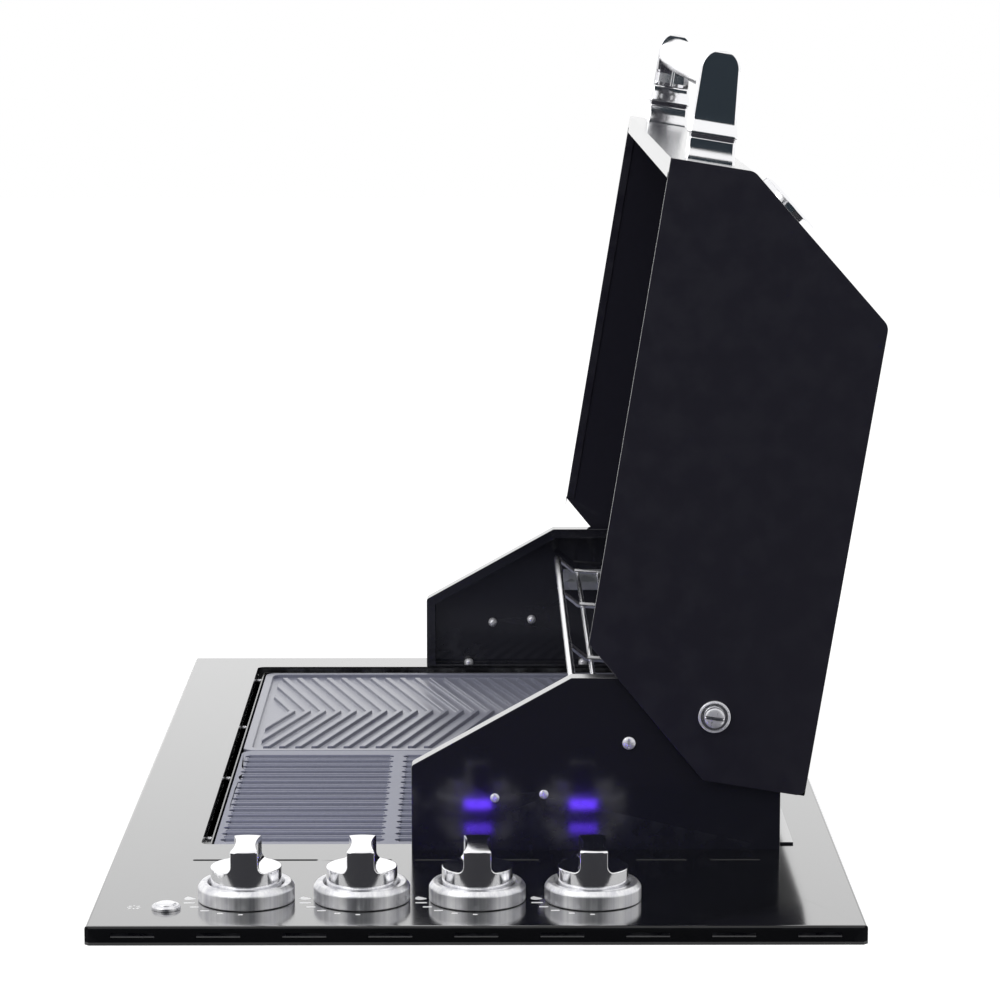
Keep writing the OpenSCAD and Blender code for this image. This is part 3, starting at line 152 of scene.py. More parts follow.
def startGroup(name, inputs, outputs):
    group = bpy.data.node_groups.new(name, "ShaderNodeTree")
    for label, kind, start in inputs:
        socket = group.interface.new_socket(label, in_out="INPUT", socket_type=kind)
        if start is not None:
            socket.default_value = start
    for label, kind in outputs:
        group.interface.new_socket(label, in_out="OUTPUT", socket_type=kind)
    return group, group.nodes.new("NodeGroupInput"), group.nodes.new("NodeGroupOutput")


wearWork = {"edge": (0.53, 0.62), "patch": (0.42, 0.62), "detail": 5.0}


def buildWear():
    # bright metal where an edge is rubbed, broken up by a coarse noise
    tree, enter, leave = startGroup(
        "edgeWear",
        [("Vector", vectorKind, None), ("Amount", floatKind, 0.3), ("Scale", floatKind, 60.0)],
        [("Mask", floatKind)],
    )
    shape = tree.nodes.new("ShaderNodeNewGeometry")
    edge = rangeNode(tree, shape.outputs["Pointiness"], *wearWork["edge"])
    noise = addNode(tree, "ShaderNodeTexNoise", Detail=wearWork["detail"])
    tree.links.new(enter.outputs["Vector"], noise.inputs["Vector"])
    tree.links.new(enter.outputs["Scale"], noise.inputs["Scale"])
    rubbed = mathNode(tree, "MULTIPLY", edge, rangeNode(tree, noise.outputs["Fac"], *wearWork["patch"]))
    tree.links.new(mathNode(tree, "MULTIPLY", rubbed, enter.outputs["Amount"]), leave.inputs["Mask"])
    return tree


dustWork = {
    "upward": (0.4, 0.95), "speckScale": 420.0, "speck": (0.12, 0.05),
    "hazeScale": 9.0, "hazeDetail": 3.0, "haze": (0.45, 0.75, 0.0, 0.5),
}


def buildDust():
    # fine settled specks and a thin haze, only on faces that look upwards
    tree, enter, leave = startGroup(
        "settledDust",
        [("Vector", vectorKind, None), ("Amount", floatKind, 0.3)],
        [("Mask", floatKind)],
    )
    shape = tree.nodes.new("ShaderNodeNewGeometry")
    apart = tree.nodes.new("ShaderNodeSeparateXYZ")
    tree.links.new(shape.outputs["Normal"], apart.inputs[0])
    upward = rangeNode(tree, apart.outputs["Z"], *dustWork["upward"])
    specks = addNode(tree, "ShaderNodeTexVoronoi", Scale=dustWork["speckScale"])
    haze = addNode(tree, "ShaderNodeTexNoise", Scale=dustWork["hazeScale"], Detail=dustWork["hazeDetail"])
    for pattern in (specks, haze):
        tree.links.new(enter.outputs["Vector"], pattern.inputs["Vector"])
    dots = rangeNode(tree, specks.outputs["Distance"], *dustWork["speck"])
    cloud = rangeNode(tree, haze.outputs["Fac"], *dustWork["haze"])
    onTop = mathNode(tree, "MULTIPLY", mathNode(tree, "MAXIMUM", dots, cloud), upward)
    tree.links.new(mathNode(tree, "MULTIPLY", onTop, enter.outputs["Amount"]), leave.inputs["Mask"])
    return tree


def leaveSkin(tree, enter, leave, value, height, distance):
    # a group's value, and the bump that a height gives
    bump = addNode(tree, "ShaderNodeBump", Distance=distance)
    tree.links.new(height, bump.inputs["Height"])
    tree.links.new(enter.outputs["Strength"], bump.inputs["Strength"])
    tree.links.new(value, leave.inputs["Value"])
    tree.links.new(bump.outputs["Normal"], leave.inputs["Normal"])


grainWork = {"stretch": (40.0, 2500.0, 2500.0), "detail": 4.0, "roughness": 0.65, "height": 0.0001}


def buildGrain():
    # noise drawn out along one direction, for brushed, rolled and turned metal
    tree, enter, leave = startGroup(
        "drawnGrain",
        [("Vector", vectorKind, None), ("Stretch", vectorKind, grainWork["stretch"]),
         ("Strength", floatKind, 0.2)],
        [("Value", floatKind), ("Normal", vectorKind)],
    )
    scaled = addNode(tree, "ShaderNodeVectorMath", operation="MULTIPLY")
    tree.links.new(enter.outputs["Vector"], scaled.inputs[0])
    tree.links.new(enter.outputs["Stretch"], scaled.inputs[1])
    noise = addNode(
        tree, "ShaderNodeTexNoise", Scale=1.0, Detail=grainWork["detail"], Roughness=grainWork["roughness"])
    tree.links.new(scaled.outputs[0], noise.inputs["Vector"])
    leaveSkin(tree, enter, leave, noise.outputs["Fac"], noise.outputs["Fac"], grainWork["height"])
    return tree


skinWork = {
    "broadDetail": 3.0, "fineDetail": 6.0, "roughness": 0.6, "finer": 5.0, "fineShare": 0.4, "height": 0.0003,
}


def buildSkin():
    # two sizes of soft bumps: enamel, casting skin and moulded plastic
    tree, enter, leave = startGroup(
        "surfaceSkin",
        [("Vector", vectorKind, None), ("Size", floatKind, 300.0), ("Strength", floatKind, 0.2)],
        [("Value", floatKind), ("Normal", vectorKind)],
    )
    broad = addNode(tree, "ShaderNodeTexNoise", Detail=skinWork["broadDetail"])
    fine = addNode(tree, "ShaderNodeTexNoise", Detail=skinWork["fineDetail"], Roughness=skinWork["roughness"])
    finer = mathNode(tree, "MULTIPLY", enter.outputs["Size"], skinWork["finer"])
    tree.links.new(finer, fine.inputs["Scale"])
    tree.links.new(enter.outputs["Size"], broad.inputs["Scale"])
    for noise in (broad, fine):
        tree.links.new(enter.outputs["Vector"], noise.inputs["Vector"])
    total = mathNode(tree, "MULTIPLY_ADD", fine.outputs["Fac"], skinWork["fineShare"], broad.outputs["Fac"])
    leaveSkin(tree, enter, leave, broad.outputs["Fac"], total, skinWork["height"])
    return tree


wearGroup, dustGroup, grainGroup, skinGroup = buildWear(), buildDust(), buildGrain(), buildSkin()
print("shader groups built")

noiseSpan = (0.3, 0.7)  # where nearly all values of a noise lie
# colours over a finish: bare metal at rubbed edges, dust, and the pits of a casting
overlay = {
    "rubbedEnamel": (0.25, 0.26, 0.28), "rubbedSteel": (0.92, 0.92, 0.93), "rubbedCast": (0.3, 0.31, 0.34),
    "dust": (0.35, 0.34, 0.33), "paleDust": (0.4, 0.39, 0.38), "pit": (0.015, 0.016, 0.02),
}


def emptyTree(owner):
    owner.use_nodes = True
    owner.node_tree.nodes.clear()
    return owner.node_tree


def showShader(tree, shader, kind="Material"):
    output = tree.nodes.new("ShaderNodeOutput" + kind)
    tree.links.new(shader.outputs[0], output.inputs["Surface"])


def startFinish(name, **values):
    finish = bpy.data.materials.new(name)
    tree = emptyTree(finish)
    shader = addNode(tree, "ShaderNodeBsdfPrincipled", **values)
    showShader(tree, shader)
    place = tree.nodes.new("ShaderNodeTexCoord").outputs["Object"]
    return finish, tree, shader, place


def placeGroup(tree, group, place, **values):
    made = addNode(tree, "ShaderNodeGroup", node_tree=group)
    tree.links.new(place, made.inputs["Vector"])
    for label, value in values.items():
        made.inputs[label].default_value = value
    return made


def dressShader(tree, shader, colour, patch, rough, normal):
    # base colour, a roughness that follows a noise, and the bump
    tree.links.new(colour, shader.inputs["Base Color"])
    tree.links.new(rangeNode(tree, patch, *noiseSpan, *rough), shader.inputs["Roughness"])
    tree.links.new(normal, shader.inputs["Normal"])


def grazingCoat(tree, shader, start, end, weight):
    # a deep gloss that only shows at a low angle, as on enamel seen along its surface
    facing = tree.nodes.new("ShaderNodeLayerWeight")
    ramp = rangeNode(tree, facing.outputs["Facing"], start, end, 0.0, weight)
    tree.links.new(ramp, shader.inputs["Coat Weight"])


def makeEnamel(name, look):
    finish, tree, shader, place = startFinish(
        name, IOR=look["ior"], Specular_IOR_Level=look["specular"],
        Coat_IOR=look["coatIor"], Coat_Roughness=look["coatRough"])
    skin = placeGroup(tree, skinGroup, place, Size=look["skinSize"], Strength=look["skin"])
    dust = placeGroup(tree, dustGroup, place, Amount=look["dust"])
    wear = placeGroup(tree, wearGroup, place, Amount=look["wear"])
    tone = mixColour(tree, skin.outputs["Value"], look["dark"], look["light"])
    worn = mixColour(tree, wear.outputs["Mask"], tone, overlay["rubbedEnamel"])
    dusty = mixColour(tree, dust.outputs["Mask"], worn, overlay["dust"])
    dressShader(tree, shader, dusty, skin.outputs["Value"], look["rough"], skin.outputs["Normal"])
    grazingCoat(tree, shader, *look["coat"])
    return finish


steelWork = {"smearSize": 25.0, "smear": 0.06}


def makeSteel(name, look):
    # drawn grain, with broad patches that are a little duller
    finish, tree, shader, place = startFinish(name, Metallic=look.get("metal", 1.0))
    grain = placeGroup(tree, grainGroup, place, Stretch=look["stretch"], Strength=look["grain"])
    wear = placeGroup(tree, wearGroup, place, Amount=look["wear"])
    skin = placeGroup(tree, skinGroup, place, Size=steelWork["smearSize"], Strength=0.0)
    tone = mixColour(tree, grain.outputs["Value"], look["dark"], look["light"])
    worn = mixColour(tree, wear.outputs["Mask"], tone, overlay["rubbedSteel"])
    tree.links.new(worn, shader.inputs["Base Color"])
    rough = rangeNode(tree, grain.outputs["Value"], *noiseSpan, *look["rough"])
    smeared = mathNode(tree, "MULTIPLY_ADD", skin.outputs["Value"], steelWork["smear"], rough)
    tree.links.new(smeared, shader.inputs["Roughness"])
    tree.links.new(grain.outputs["Normal"], shader.inputs["Normal"])
    return finish


def makeGalvanised(name, look):
    # zinc spangle: large flat crystals, each with its own tone and roughness
    finish, tree, shader, place = startFinish(name, Metallic=1.0)
    crystals = addNode(tree, "ShaderNodeTexVoronoi", Scale=look["crystals"], Randomness=1.0)
    tree.links.new(place, crystals.inputs["Vector"])
    apart = tree.nodes.new("ShaderNodeSeparateColor")
    tree.links.new(crystals.outputs["Color"], apart.inputs[0])
    skin = placeGroup(tree, skinGroup, place, Size=look["size"], Strength=look["skin"])
    tone = mixColour(tree, apart.outputs[0], look["dark"], look["light"])
    cloudy = mixColour(tree, rangeNode(tree, skin.outputs["Value"], *look["clouds"]), tone, look["cloud"])
    tree.links.new(cloudy, shader.inputs["Base Color"])
    tree.links.new(rangeNode(tree, apart.outputs[1], 0.0, 1.0, *look["rough"]), shader.inputs["Roughness"])
    tree.links.new(skin.outputs["Normal"], shader.inputs["Normal"])
    return finish


castSkin = {"size": 420.0, "pitScale": 900.0, "pits": (0.0, 0.25, 0.35, 0.0), "wearScale": 35.0}


def makeCast(name, look):
    # enamelled cast iron with the sandy skin of its mould
    finish, tree, shader, place = startFinish(
        name, IOR=look["ior"], Coat_IOR=look["coatIor"], Coat_Roughness=look["coatRough"])
    skin = placeGroup(tree, skinGroup, place, Size=castSkin["size"], Strength=look["skin"])
    pits = addNode(tree, "ShaderNodeTexVoronoi", Scale=castSkin["pitScale"])
    tree.links.new(place, pits.inputs["Vector"])
    pitted = rangeNode(tree, pits.outputs["Distance"], *castSkin["pits"])
    wear = placeGroup(tree, wearGroup, place, Amount=look["wear"], Scale=castSkin["wearScale"])
    tone = mixColour(tree, skin.outputs["Value"], look["dark"], look["light"])
    spotted = mixColour(tree, pitted, tone, overlay["pit"])
    worn = mixColour(tree, wear.outputs["Mask"], spotted, overlay["rubbedCast"])
    dressShader(tree, shader, worn, skin.outputs["Value"], look["rough"], skin.outputs["Normal"])
    grazingCoat(tree, shader, *look["coat"])
    return finish


warmWork = {"size": 90.0, "stain": (0.5, 0.72, 0.0, 0.7), "stretch": (900.0, 900.0, 120.0), "grain": 0.08}


def makeWarmMetal(name, look):
    # brass and copper with tarnished patches
    finish, tree, shader, place = startFinish(name, Metallic=1.0)
    skin = placeGroup(tree, skinGroup, place, Size=warmWork["size"], Strength=0.0)
    grain = placeGroup(tree, grainGroup, place, Stretch=warmWork["stretch"], Strength=warmWork["grain"])
    tone = mixColour(tree, grain.outputs["Value"], look["dark"], look["light"])
    stain = rangeNode(tree, skin.outputs["Value"], *warmWork["stain"])
    stained = mixColour(tree, stain, tone, look["tarnish"])
    dressShader(tree, shader, stained, skin.outputs["Value"], look["rough"], grain.outputs["Normal"])
    return finish


mouldedCoat = 0.1  # roughness of the gloss over moulded and painted pieces


def makeMoulded(name, look):
    # plastics, silicone, paint and glazed ceramic
    finish, tree, shader, place = startFinish(
        name, IOR=look["ior"], Coat_Weight=look["gloss"], Coat_Roughness=mouldedCoat)
    skin = placeGroup(tree, skinGroup, place, Size=look["size"], Strength=look["skin"])
    dust = placeGroup(tree, dustGroup, place, Amount=look["dust"])
    tone = mixColour(tree, skin.outputs["Value"], look["dark"], look["light"])
    dusty = mixColour(tree, dust.outputs["Mask"], tone, overlay["paleDust"])
    dressShader(tree, shader, dusty, skin.outputs["Value"], look["rough"], skin.outputs["Normal"])
    return finish


def makeTurned(name, look):
    # turned steel: fine rings of tool marks that draw the light out, with soft uneven streaks of painted
    # highlight in its colour
    finish, tree, shader, place = startFinish(name, Metallic=1.0)
    rings = placeGroup(tree, grainGroup, place, Stretch=look["rings"], Strength=look["depth"])
    paintedHighlightStreaks = placeGroup(tree, grainGroup, place, Stretch=look["paintedHighlightStreaks"], Strength=0.0)
    # painted highlight: the colour runs lighter and darker in streaks round the ring
    patch = rangeNode(tree, paintedHighlightStreaks.outputs["Value"], *look["patch"])
    tone = mixColour(tree, patch, look["dark"], look["light"])
    dressShader(tree, shader, tone, paintedHighlightStreaks.outputs["Value"], look["rough"], rings.outputs["Normal"])
    return finish


def makeLens(name, look):
    # the lamp in the back of each bezel, lit in the part that stands above the plate's shade
    finish, tree, shader, place = startFinish(
        name, Roughness=look["rough"], IOR=look["ior"], Emission_Strength=look["power"])
    ribs = addNode(tree, "ShaderNodeTexWave", Scale=look["ribs"], bands_direction="Y")
    tree.links.new(place, ribs.inputs["Vector"])
    glow = mixColour(tree, ribs.outputs["Fac"], look["dark"], look["light"])
    height = tree.nodes.new("ShaderNodeSeparateXYZ")
    tree.links.new(place, height.inputs[0])
    lit = mixColour(tree, rangeNode(tree, height.outputs["Z"], *look["shade"]), (0.0, 0.0, 0.0), glow)
    tree.links.new(lit, shader.inputs["Emission Color"])
    tree.links.new(glow, shader.inputs["Base Color"])
    return finish


def makeGlass(name, look):
    finish, tree, shader, place = startFinish(name, IOR=look["ior"], Transmission_Weight=1.0)
    shader.inputs["Base Color"].default_value = (*look["tint"], 1.0)
    skin = placeGroup(tree, skinGroup, place, Size=look["size"], Strength=0.0)
    tree.links.new(rangeNode(tree, skin.outputs["Value"], *look["smear"]), shader.inputs["Roughness"])
    return finish


finishes = {
    "bezelTurned": makeTurned("turnedSteel", {
        "dark": (0.70, 0.70, 0.74), "light": (0.96, 0.96, 0.97), "patch": (0.38, 0.62), "rough": (0.32, 0.44),
        "rings": (0.0, 0.0, 3000.0), "depth": 0.8, "paintedHighlightStreaks": (170.0, 170.0, 0.0)}),
    "plate_black": makeEnamel("plateEnamel", {
        "dark": (0.0045, 0.0048, 0.0055), "light": (0.006, 0.006, 0.0075), "ior": 1.45, "specular": 0.5,
        "rough": (0.11, 0.14), "coatIor": 4.0, "coatRough": 0.12, "coat": (0.4, 0.8, 1.0),
        "skinSize": 120.0, "skin": 0.01, "dust": 0.006, "wear": 0.05}),
    "bracket_black": makeEnamel("bracketEnamel", {
        "dark": (0.013, 0.013, 0.019), "light": (0.015, 0.015, 0.022), "ior": 1.6, "specular": 0.5,
        "rough": (0.10, 0.13), "coatIor": 6.5, "coatRough": 0.12, "coat": (0.36, 0.66, 1.0),
        "skinSize": 200.0, "skin": 0.012, "dust": 0.01, "wear": 0.2}),
    "hood_black": makeEnamel("hoodEnamel", {
        "dark": (0.019, 0.018, 0.028), "light": (0.020, 0.019, 0.030), "ior": 1.5, "specular": 0.4,
        "rough": (0.28, 0.30), "coatIor": 3.0, "coatRough": 0.15, "coat": (0.6, 0.92, 1.0),
        "skinSize": 160.0, "skin": 0.006, "dust": 0.006, "wear": 0.1}),
    "liner_black": makeEnamel("linerEnamel", {
        "dark": (0.009, 0.009, 0.011), "light": (0.016, 0.016, 0.018), "ior": 1.5, "specular": 0.4,
        "rough": (0.2, 0.3), "coatIor": 2.4, "coatRough": 0.15, "coat": (0.5, 0.9, 0.9),
        "skinSize": 200.0, "skin": 0.06, "dust": 0.05, "wear": 0.4}),
    "galvanised": makeGalvanised("zincSheet", {
        "dark": (0.42, 0.44, 0.46), "light": (0.66, 0.67, 0.69), "crystals": 75.0, "rough": (0.32, 0.52),
        "cloud": (0.5, 0.51, 0.52), "clouds": (0.4, 0.7, 0.0, 0.5), "size": 140.0, "skin": 0.12}),
    "zincPlated": makeSteel("platedFastener", {
        "dark": (0.80, 0.80, 0.84), "light": (0.92, 0.92, 0.95), "stretch": (500.0, 500.0, 500.0),
        "metal": 0.5, "grain": 0.05, "wear": 0.2, "rough": (0.22, 0.3)}),
    "stainless": makeSteel("brushedSteel", {
        "dark": (0.48, 0.48, 0.50), "light": (0.68, 0.68, 0.70), "stretch": (30.0, 1800.0, 1800.0),
        "grain": 0.25, "wear": 0.2, "rough": (0.24, 0.36)}),
    "bright_steel": makeSteel("brightSteel", {
        "dark": (0.84, 0.84, 0.87), "light": (0.92, 0.92, 0.94), "stretch": (400.0, 400.0, 400.0),
        "grain": 0.05, "wear": 0.1, "rough": (0.16, 0.24)}),
    "chrome": makeSteel("satinChrome", {
        "dark": (0.92, 0.92, 0.94), "light": (0.97, 0.97, 0.98), "stretch": (300.0, 300.0, 2400.0),
        "grain": 0.04, "wear": 0.0, "rough": (0.05, 0.1)}),
    "cast_grill": makeCast("castGrill", {
        "dark": (0.18, 0.19, 0.26), "light": (0.26, 0.27, 0.37), "ior": 1.5, "rough": (0.45, 0.6),
        "coatIor": 1.9, "coatRough": 0.4, "coat": (0.4, 0.85, 0.7), "skin": 0.4, "wear": 0.3}),
    "cast_hotplate": makeCast("castHotplate", {
        "dark": (0.20, 0.205, 0.27), "light": (0.27, 0.28, 0.36), "ior": 1.6, "rough": (0.4, 0.55),
        "coatIor": 2.4, "coatRough": 0.35, "coat": (0.4, 0.85, 1.0), "skin": 0.3, "wear": 0.3}),
    "brass": makeWarmMetal("valveBrass", {
        "dark": (0.62, 0.45, 0.18), "light": (0.80, 0.62, 0.30), "tarnish": (0.28, 0.2, 0.1),
        "rough": (0.22, 0.4)}),
    "copper_pipe": makeWarmMetal("pipeCopper", {
        "dark": (0.72, 0.36, 0.22), "light": (0.86, 0.48, 0.32), "tarnish": (0.3, 0.14, 0.08),
        "rough": (0.2, 0.38)}),
    "lead_red": makeMoulded("leadSilicone", {
        "dark": (0.42, 0.02, 0.015), "light": (0.58, 0.05, 0.03), "ior": 1.43, "gloss": 0.2,
        "size": 600.0, "skin": 0.15, "dust": 0.2, "rough": (0.4, 0.6)}),
    "ceramic": makeMoulded("glazedCeramic", {
        "dark": (0.74, 0.71, 0.64), "light": (0.88, 0.86, 0.8), "ior": 1.55, "gloss": 0.7,
        "size": 250.0, "skin": 0.06, "dust": 0.15, "rough": (0.18, 0.3)}),
    "black_plastic": makeMoulded("blackPlastic", {
        "dark": (0.012, 0.012, 0.013), "light": (0.022, 0.022, 0.024), "ior": 1.46, "gloss": 0.15,
        "size": 900.0, "skin": 0.2, "dust": 0.15, "rough": (0.35, 0.5)}),
    "lens_violet": makeLens("violetLens", {
        "dark": (0.11, 0.035, 0.9), "light": (0.14, 0.05, 1.0), "ribs": 260.0, "shade": (0.0175, 0.02),
        "power": 26.0, "ior": 1.49, "rough": 0.15}),
    "gauge_glass": makeGlass("gaugeGlass", {
        "tint": (0.97, 0.99, 1.0), "ior": 1.5, "size": 60.0, "smear": (0.35, 0.75, 0.0, 0.05)}),
    "dial_white": makeMoulded("dialEnamel", {
        "dark": (0.80, 0.80, 0.77), "light": (0.86, 0.86, 0.84), "ior": 1.5, "gloss": 0.3,
        "size": 400.0, "skin": 0.03, "dust": 0.0, "rough": (0.35, 0.45)}),
    "needle_red": makeMoulded("needlePaint", {
        "dark": (0.62, 0.03, 0.02), "light": (0.72, 0.06, 0.03), "ior": 1.5, "gloss": 0.5,
        "size": 500.0, "skin": 0.02, "dust": 0.0, "rough": (0.3, 0.4)}),
    "markWhite": makeMoulded("printedMark", {
        "dark": (0.93, 0.93, 0.94), "light": (0.97, 0.97, 0.98), "ior": 1.5, "gloss": 0.2,
        "size": 800.0, "skin": 0.05, "dust": 0.0, "rough": (0.4, 0.5)}),
    "markBlack": makeMoulded("printedDialMark", {
        "dark": (0.012, 0.012, 0.012), "light": (0.02, 0.02, 0.02), "ior": 1.5, "gloss": 0.1,
        "size": 800.0, "skin": 0.05, "dust": 0.0, "rough": (0.4, 0.5)}),
}
slotOf = {part["node"]: part["material_slot"] for part in frame["record"]["subparts"]}
bodyOf = {name: made["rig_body"] for name, made in nodes.items()}
for name, made in nodes.items():
    made.data.materials.clear()
    made.data.materials.append(finishes[slotOf[name]])
print("finishes made:", len(finishes))


# Mesh helpers

meshWork = {"weld": 0.000002, "wireWeld": 0.000005, "cut": 0.0000001, "flatBelow": 0.4}


def fromNode(name):
    # the CAD solid's mesh, with its triangles joined into flat faces
    bm = bmesh.new()
    bm.from_mesh(nodes[name].data)
    bmesh.ops.remove_doubles(bm, verts=bm.verts[:], dist=meshWork["weld"])
    bend = math.radians(meshWork["flatBelow"])
    bmesh.ops.dissolve_limit(bm, angle_limit=bend, verts=bm.verts[:], edges=bm.edges[:])
    return bm


def sharpEdges(bm, degrees, keep=None):
    limit = math.radians(degrees)
    return [edge for edge in bm.edges if len(edge.link_faces) == 2 and edge.calc_face_angle(0) > limit
            and (keep is None or keep(edge))]


def bevelEdges(bm, edges, width, segments=2):
    bmesh.ops.bevel(bm, geom=edges, offset=width * mm, offset_type="OFFSET", segments=segments, profile=0.5,
                    affect="EDGES", material=-1, clamp_overlap=False, loop_slide=True)


def faceOutwards(bm):
    bmesh.ops.recalc_face_normals(bm, faces=bm.faces[:])


def finishPiece(bm, name, slotName, body, stands=(), smooth=35, finish=None):
    limit = math.radians(smooth)
    for face in bm.faces:
        face.smooth = True
    for edge in bm.edges:
        edge.smooth = len(edge.link_faces) != 2 or edge.calc_face_angle(0) < limit
    mesh = bpy.data.meshes.new(name)
    bm.to_mesh(mesh)
    bm.free()
    mesh.materials.append(finish or finishes[slotName])
    piece = addObject(name, mesh)
    level = piece.modifiers.new("levelFaces", "WEIGHTED_NORMAL")
    level.keep_sharp = True
    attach(piece, body)
    if stands:
        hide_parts(*stands)
    return piece


def dressNode(name, pieceName, width, segments=2, over=30, smooth=35, finish=None):
    # the CAD solid with its edges rolled over
    bm = fromNode(name)
    bevelEdges(bm, sharpEdges(bm, over), width, segments)
    return finishPiece(bm, pieceName, slotOf[name], bodyOf[name], (name,), smooth, finish)


def meshOf(name, curve):
    # the mesh of a curve or of letters
    holder = addObject(name, curve)
    bpy.context.view_layer.update()
    mesh = bpy.data.meshes.new_from_object(holder.evaluated_get(bpy.context.evaluated_depsgraph_get()))
    bm = bmesh.new()
    bm.from_mesh(mesh)
    bpy.data.objects.remove(holder)
    return bm


def roundWire(points, radius, sides, bend=0.0, steps=6):
    # a round wire along straight runs, with an arc at each inner point
    path = [Vector(points[0])]
    for before, corner, after in zip(points, points[1:], points[2:]):
        before, corner, after = Vector(before), Vector(corner), Vector(after)
        back, ahead = (before - corner).normalized(), (after - corner).normalized()
        half = back.angle(ahead) / 2
        reach = bend / math.tan(half)
        middle = corner + (back + ahead).normalized() * bend / math.sin(half)
        start, end = corner + back * reach - middle, corner + ahead * reach - middle
        path += [middle + start.slerp(end, k / steps) for k in range(steps + 1)]
    path.append(Vector(points[-1]))
    curve = bpy.data.curves.new("wirePath", "CURVE")
    curve.dimensions = "3D"
    curve.bevel_depth = radius * mm
    curve.bevel_resolution = sides
    curve.use_fill_caps = True
    spline = curve.splines.new("POLY")
    spline.points.add(len(path) - 1)
    for point, place in zip(spline.points, path):
        point.co = (*(place * mm), 1.0)
    bm = meshOf("wirePath", curve)
    bmesh.ops.remove_doubles(bm, verts=bm.verts[:], dist=meshWork["wireWeld"])
    return bm


def addTo(bm, other, place=None):
    mesh = bpy.data.meshes.new("joined")
    if place is not None:
        bmesh.ops.transform(other, matrix=place, verts=other.verts[:])
    other.to_mesh(mesh)
    other.free()
    bm.from_mesh(mesh)
    bpy.data.meshes.remove(mesh)


def spunProfile(outline, segments=96, sweep=360.0):
    # outline holds radius and height pairs in millimetres
    bm = bmesh.new()
    ring = [bm.verts.new((radius * mm, 0.0, height * mm)) for radius, height in outline]
    edges = [bm.edges.new(pair) for pair in zip(ring, ring[1:])]
    bmesh.ops.spin(bm, geom=ring + edges, cent=(0, 0, 0), axis=(0, 0, 1), angle=math.radians(sweep),
                   steps=segments, use_merge=sweep >= 360)
    bmesh.ops.remove_doubles(bm, verts=bm.verts[:], dist=meshWork["weld"])
    faceOutwards(bm)
    return bm


def standing(place, towards):
    # moves a shape from the origin to a place in millimetres, turned to look another way
    turn = Vector((0, 0, 1)).rotation_difference(Vector(towards)).to_matrix().to_4x4()
    return Matrix.Translation(Vector(place) * mm) @ turn


def roundedGrid(width, length, corner):
    # a flat rectangle with rounded corners
    bm = bmesh.new()
    bmesh.ops.create_grid(bm, x_segments=1, y_segments=1, size=0.5)
    bmesh.ops.scale(bm, vec=Vector((width, length, 1.0)) * mm, verts=bm.verts[:])
    bmesh.ops.bevel(bm, geom=bm.verts[:], offset=corner * mm, offset_type="OFFSET", segments=3, profile=0.5,
                    affect="VERTICES", material=-1)
    return bm


# Printed marks: flat shapes, all raised by the thickness of the print

printWork = {"corner": 0.35, "raise": 0.05}


def flatBar(length, width):
    return roundedGrid(length, width, width * printWork["corner"])


def raiseFlat(bm):
    made = bmesh.ops.extrude_face_region(bm, geom=bm.faces[:])
    lifted = [item for item in made["geom"] if isinstance(item, bmesh.types.BMVert)]
    bmesh.ops.translate(bm, vec=(0, 0, printWork["raise"] * mm), verts=lifted)
    faceOutwards(bm)


# Top plate and what lies in its opening

sheetWork = {
    "liner": {"width": 0.3}, "bracket": {"width": 0.45, "segments": 3}, "wall": {"width": 0.4},
    "rail": {"width": 0.35}, "slitRows": (270.0, 290.0), "slitEnds": 215.0, "slitOver": 60,
    "slitEdge": (1.4, 4), "skim": 0.01, "smooth": 40,
}


def buildPlate():
    # only the edges of the two rows of vent slits are rolled on the plate
    bm = fromNode("top_plate")
    near, far = (edge * mm for edge in sheetWork["slitRows"])
    topFace = (grill["top"] - sheetWork["skim"]) * mm
    slits = sharpEdges(bm, sheetWork["slitOver"], lambda edge: all(
        near < vert.co.x < far and vert.co.z > topFace and abs(vert.co.y) < sheetWork["slitEnds"] * mm
        for vert in edge.verts))
    bevelEdges(bm, slits, *sheetWork["slitEdge"])
    finishPiece(bm, "plateTop", "plate_black", "grill", ("top_plate",), sheetWork["smooth"])
    dressNode("opening_liner", "openingLiner", **sheetWork["liner"])
    for side in ("left", "right"):
        dressNode("side_bracket_" + side, side + "Bracket", **sheetWork["bracket"])
    dressNode("rear_wall", "rearWall", **sheetWork["wall"])
    dressNode("rack_supports", "rackSupports", **sheetWork["rail"])
    print("plate, liner and brackets dressed")


buildPlate()

# Screws, nuts and hinge fittings

screwWork = {
    "small": {"width": 0.22, "over": 40}, "nuts": {"width": 0.35, "over": 40},
    "bushes": {"width": 0.5, "over": 40}, "bolts": {"width": 1.4, "segments": 4, "over": 40, "smooth": 50},
    "webs": ((12.8, 51.4), (48.0, 54.0)), "innerWeb": 335.5, "webDome": (3.9, 5.6),
    "feet": (-9.0, 95.0), "footX": 330.0, "footTop": 14.5, "footDome": (4.1, 4.2),
    "domeRim": 0.3, "domeSteps": 8, "domeSides": 32, "smooth": 50,
    "headTop": 347.6, "headDome": (7.3, 2.4), "slotHalf": 1.2, "slotTilt": 8.0,
    "cup": ((7.9, 0.0), (8.1, 0.4), (10.6, 2.2), (11.1, 2.4), (11.5, 2.1), (11.5, 0.0), (7.9, 0.0)),
    "cupFoot": 342.3, "cupSides": 64,
}


def domeProfile(radius, height):
    # a low dome with a short straight rim, as radius and height pairs from its foot to its top
    rim = height * screwWork["domeRim"]
    turns = [math.radians(90 * k / screwWork["domeSteps"]) for k in range(screwWork["domeSteps"] + 1)]
    return [(radius, 0.0)] + [
        (radius * math.cos(turn), rim + (height - rim) * math.sin(turn)) for turn in turns]


def addDome(bm, place, towards, radius, height):
    addTo(bm, spunProfile(domeProfile(radius, height), screwWork["domeSides"]), standing(place, towards))


def finishDomes(bm, name):
    finishPiece(bm, name, "bright_steel", "grill", (), screwWork["smooth"], finishes["zincPlated"])


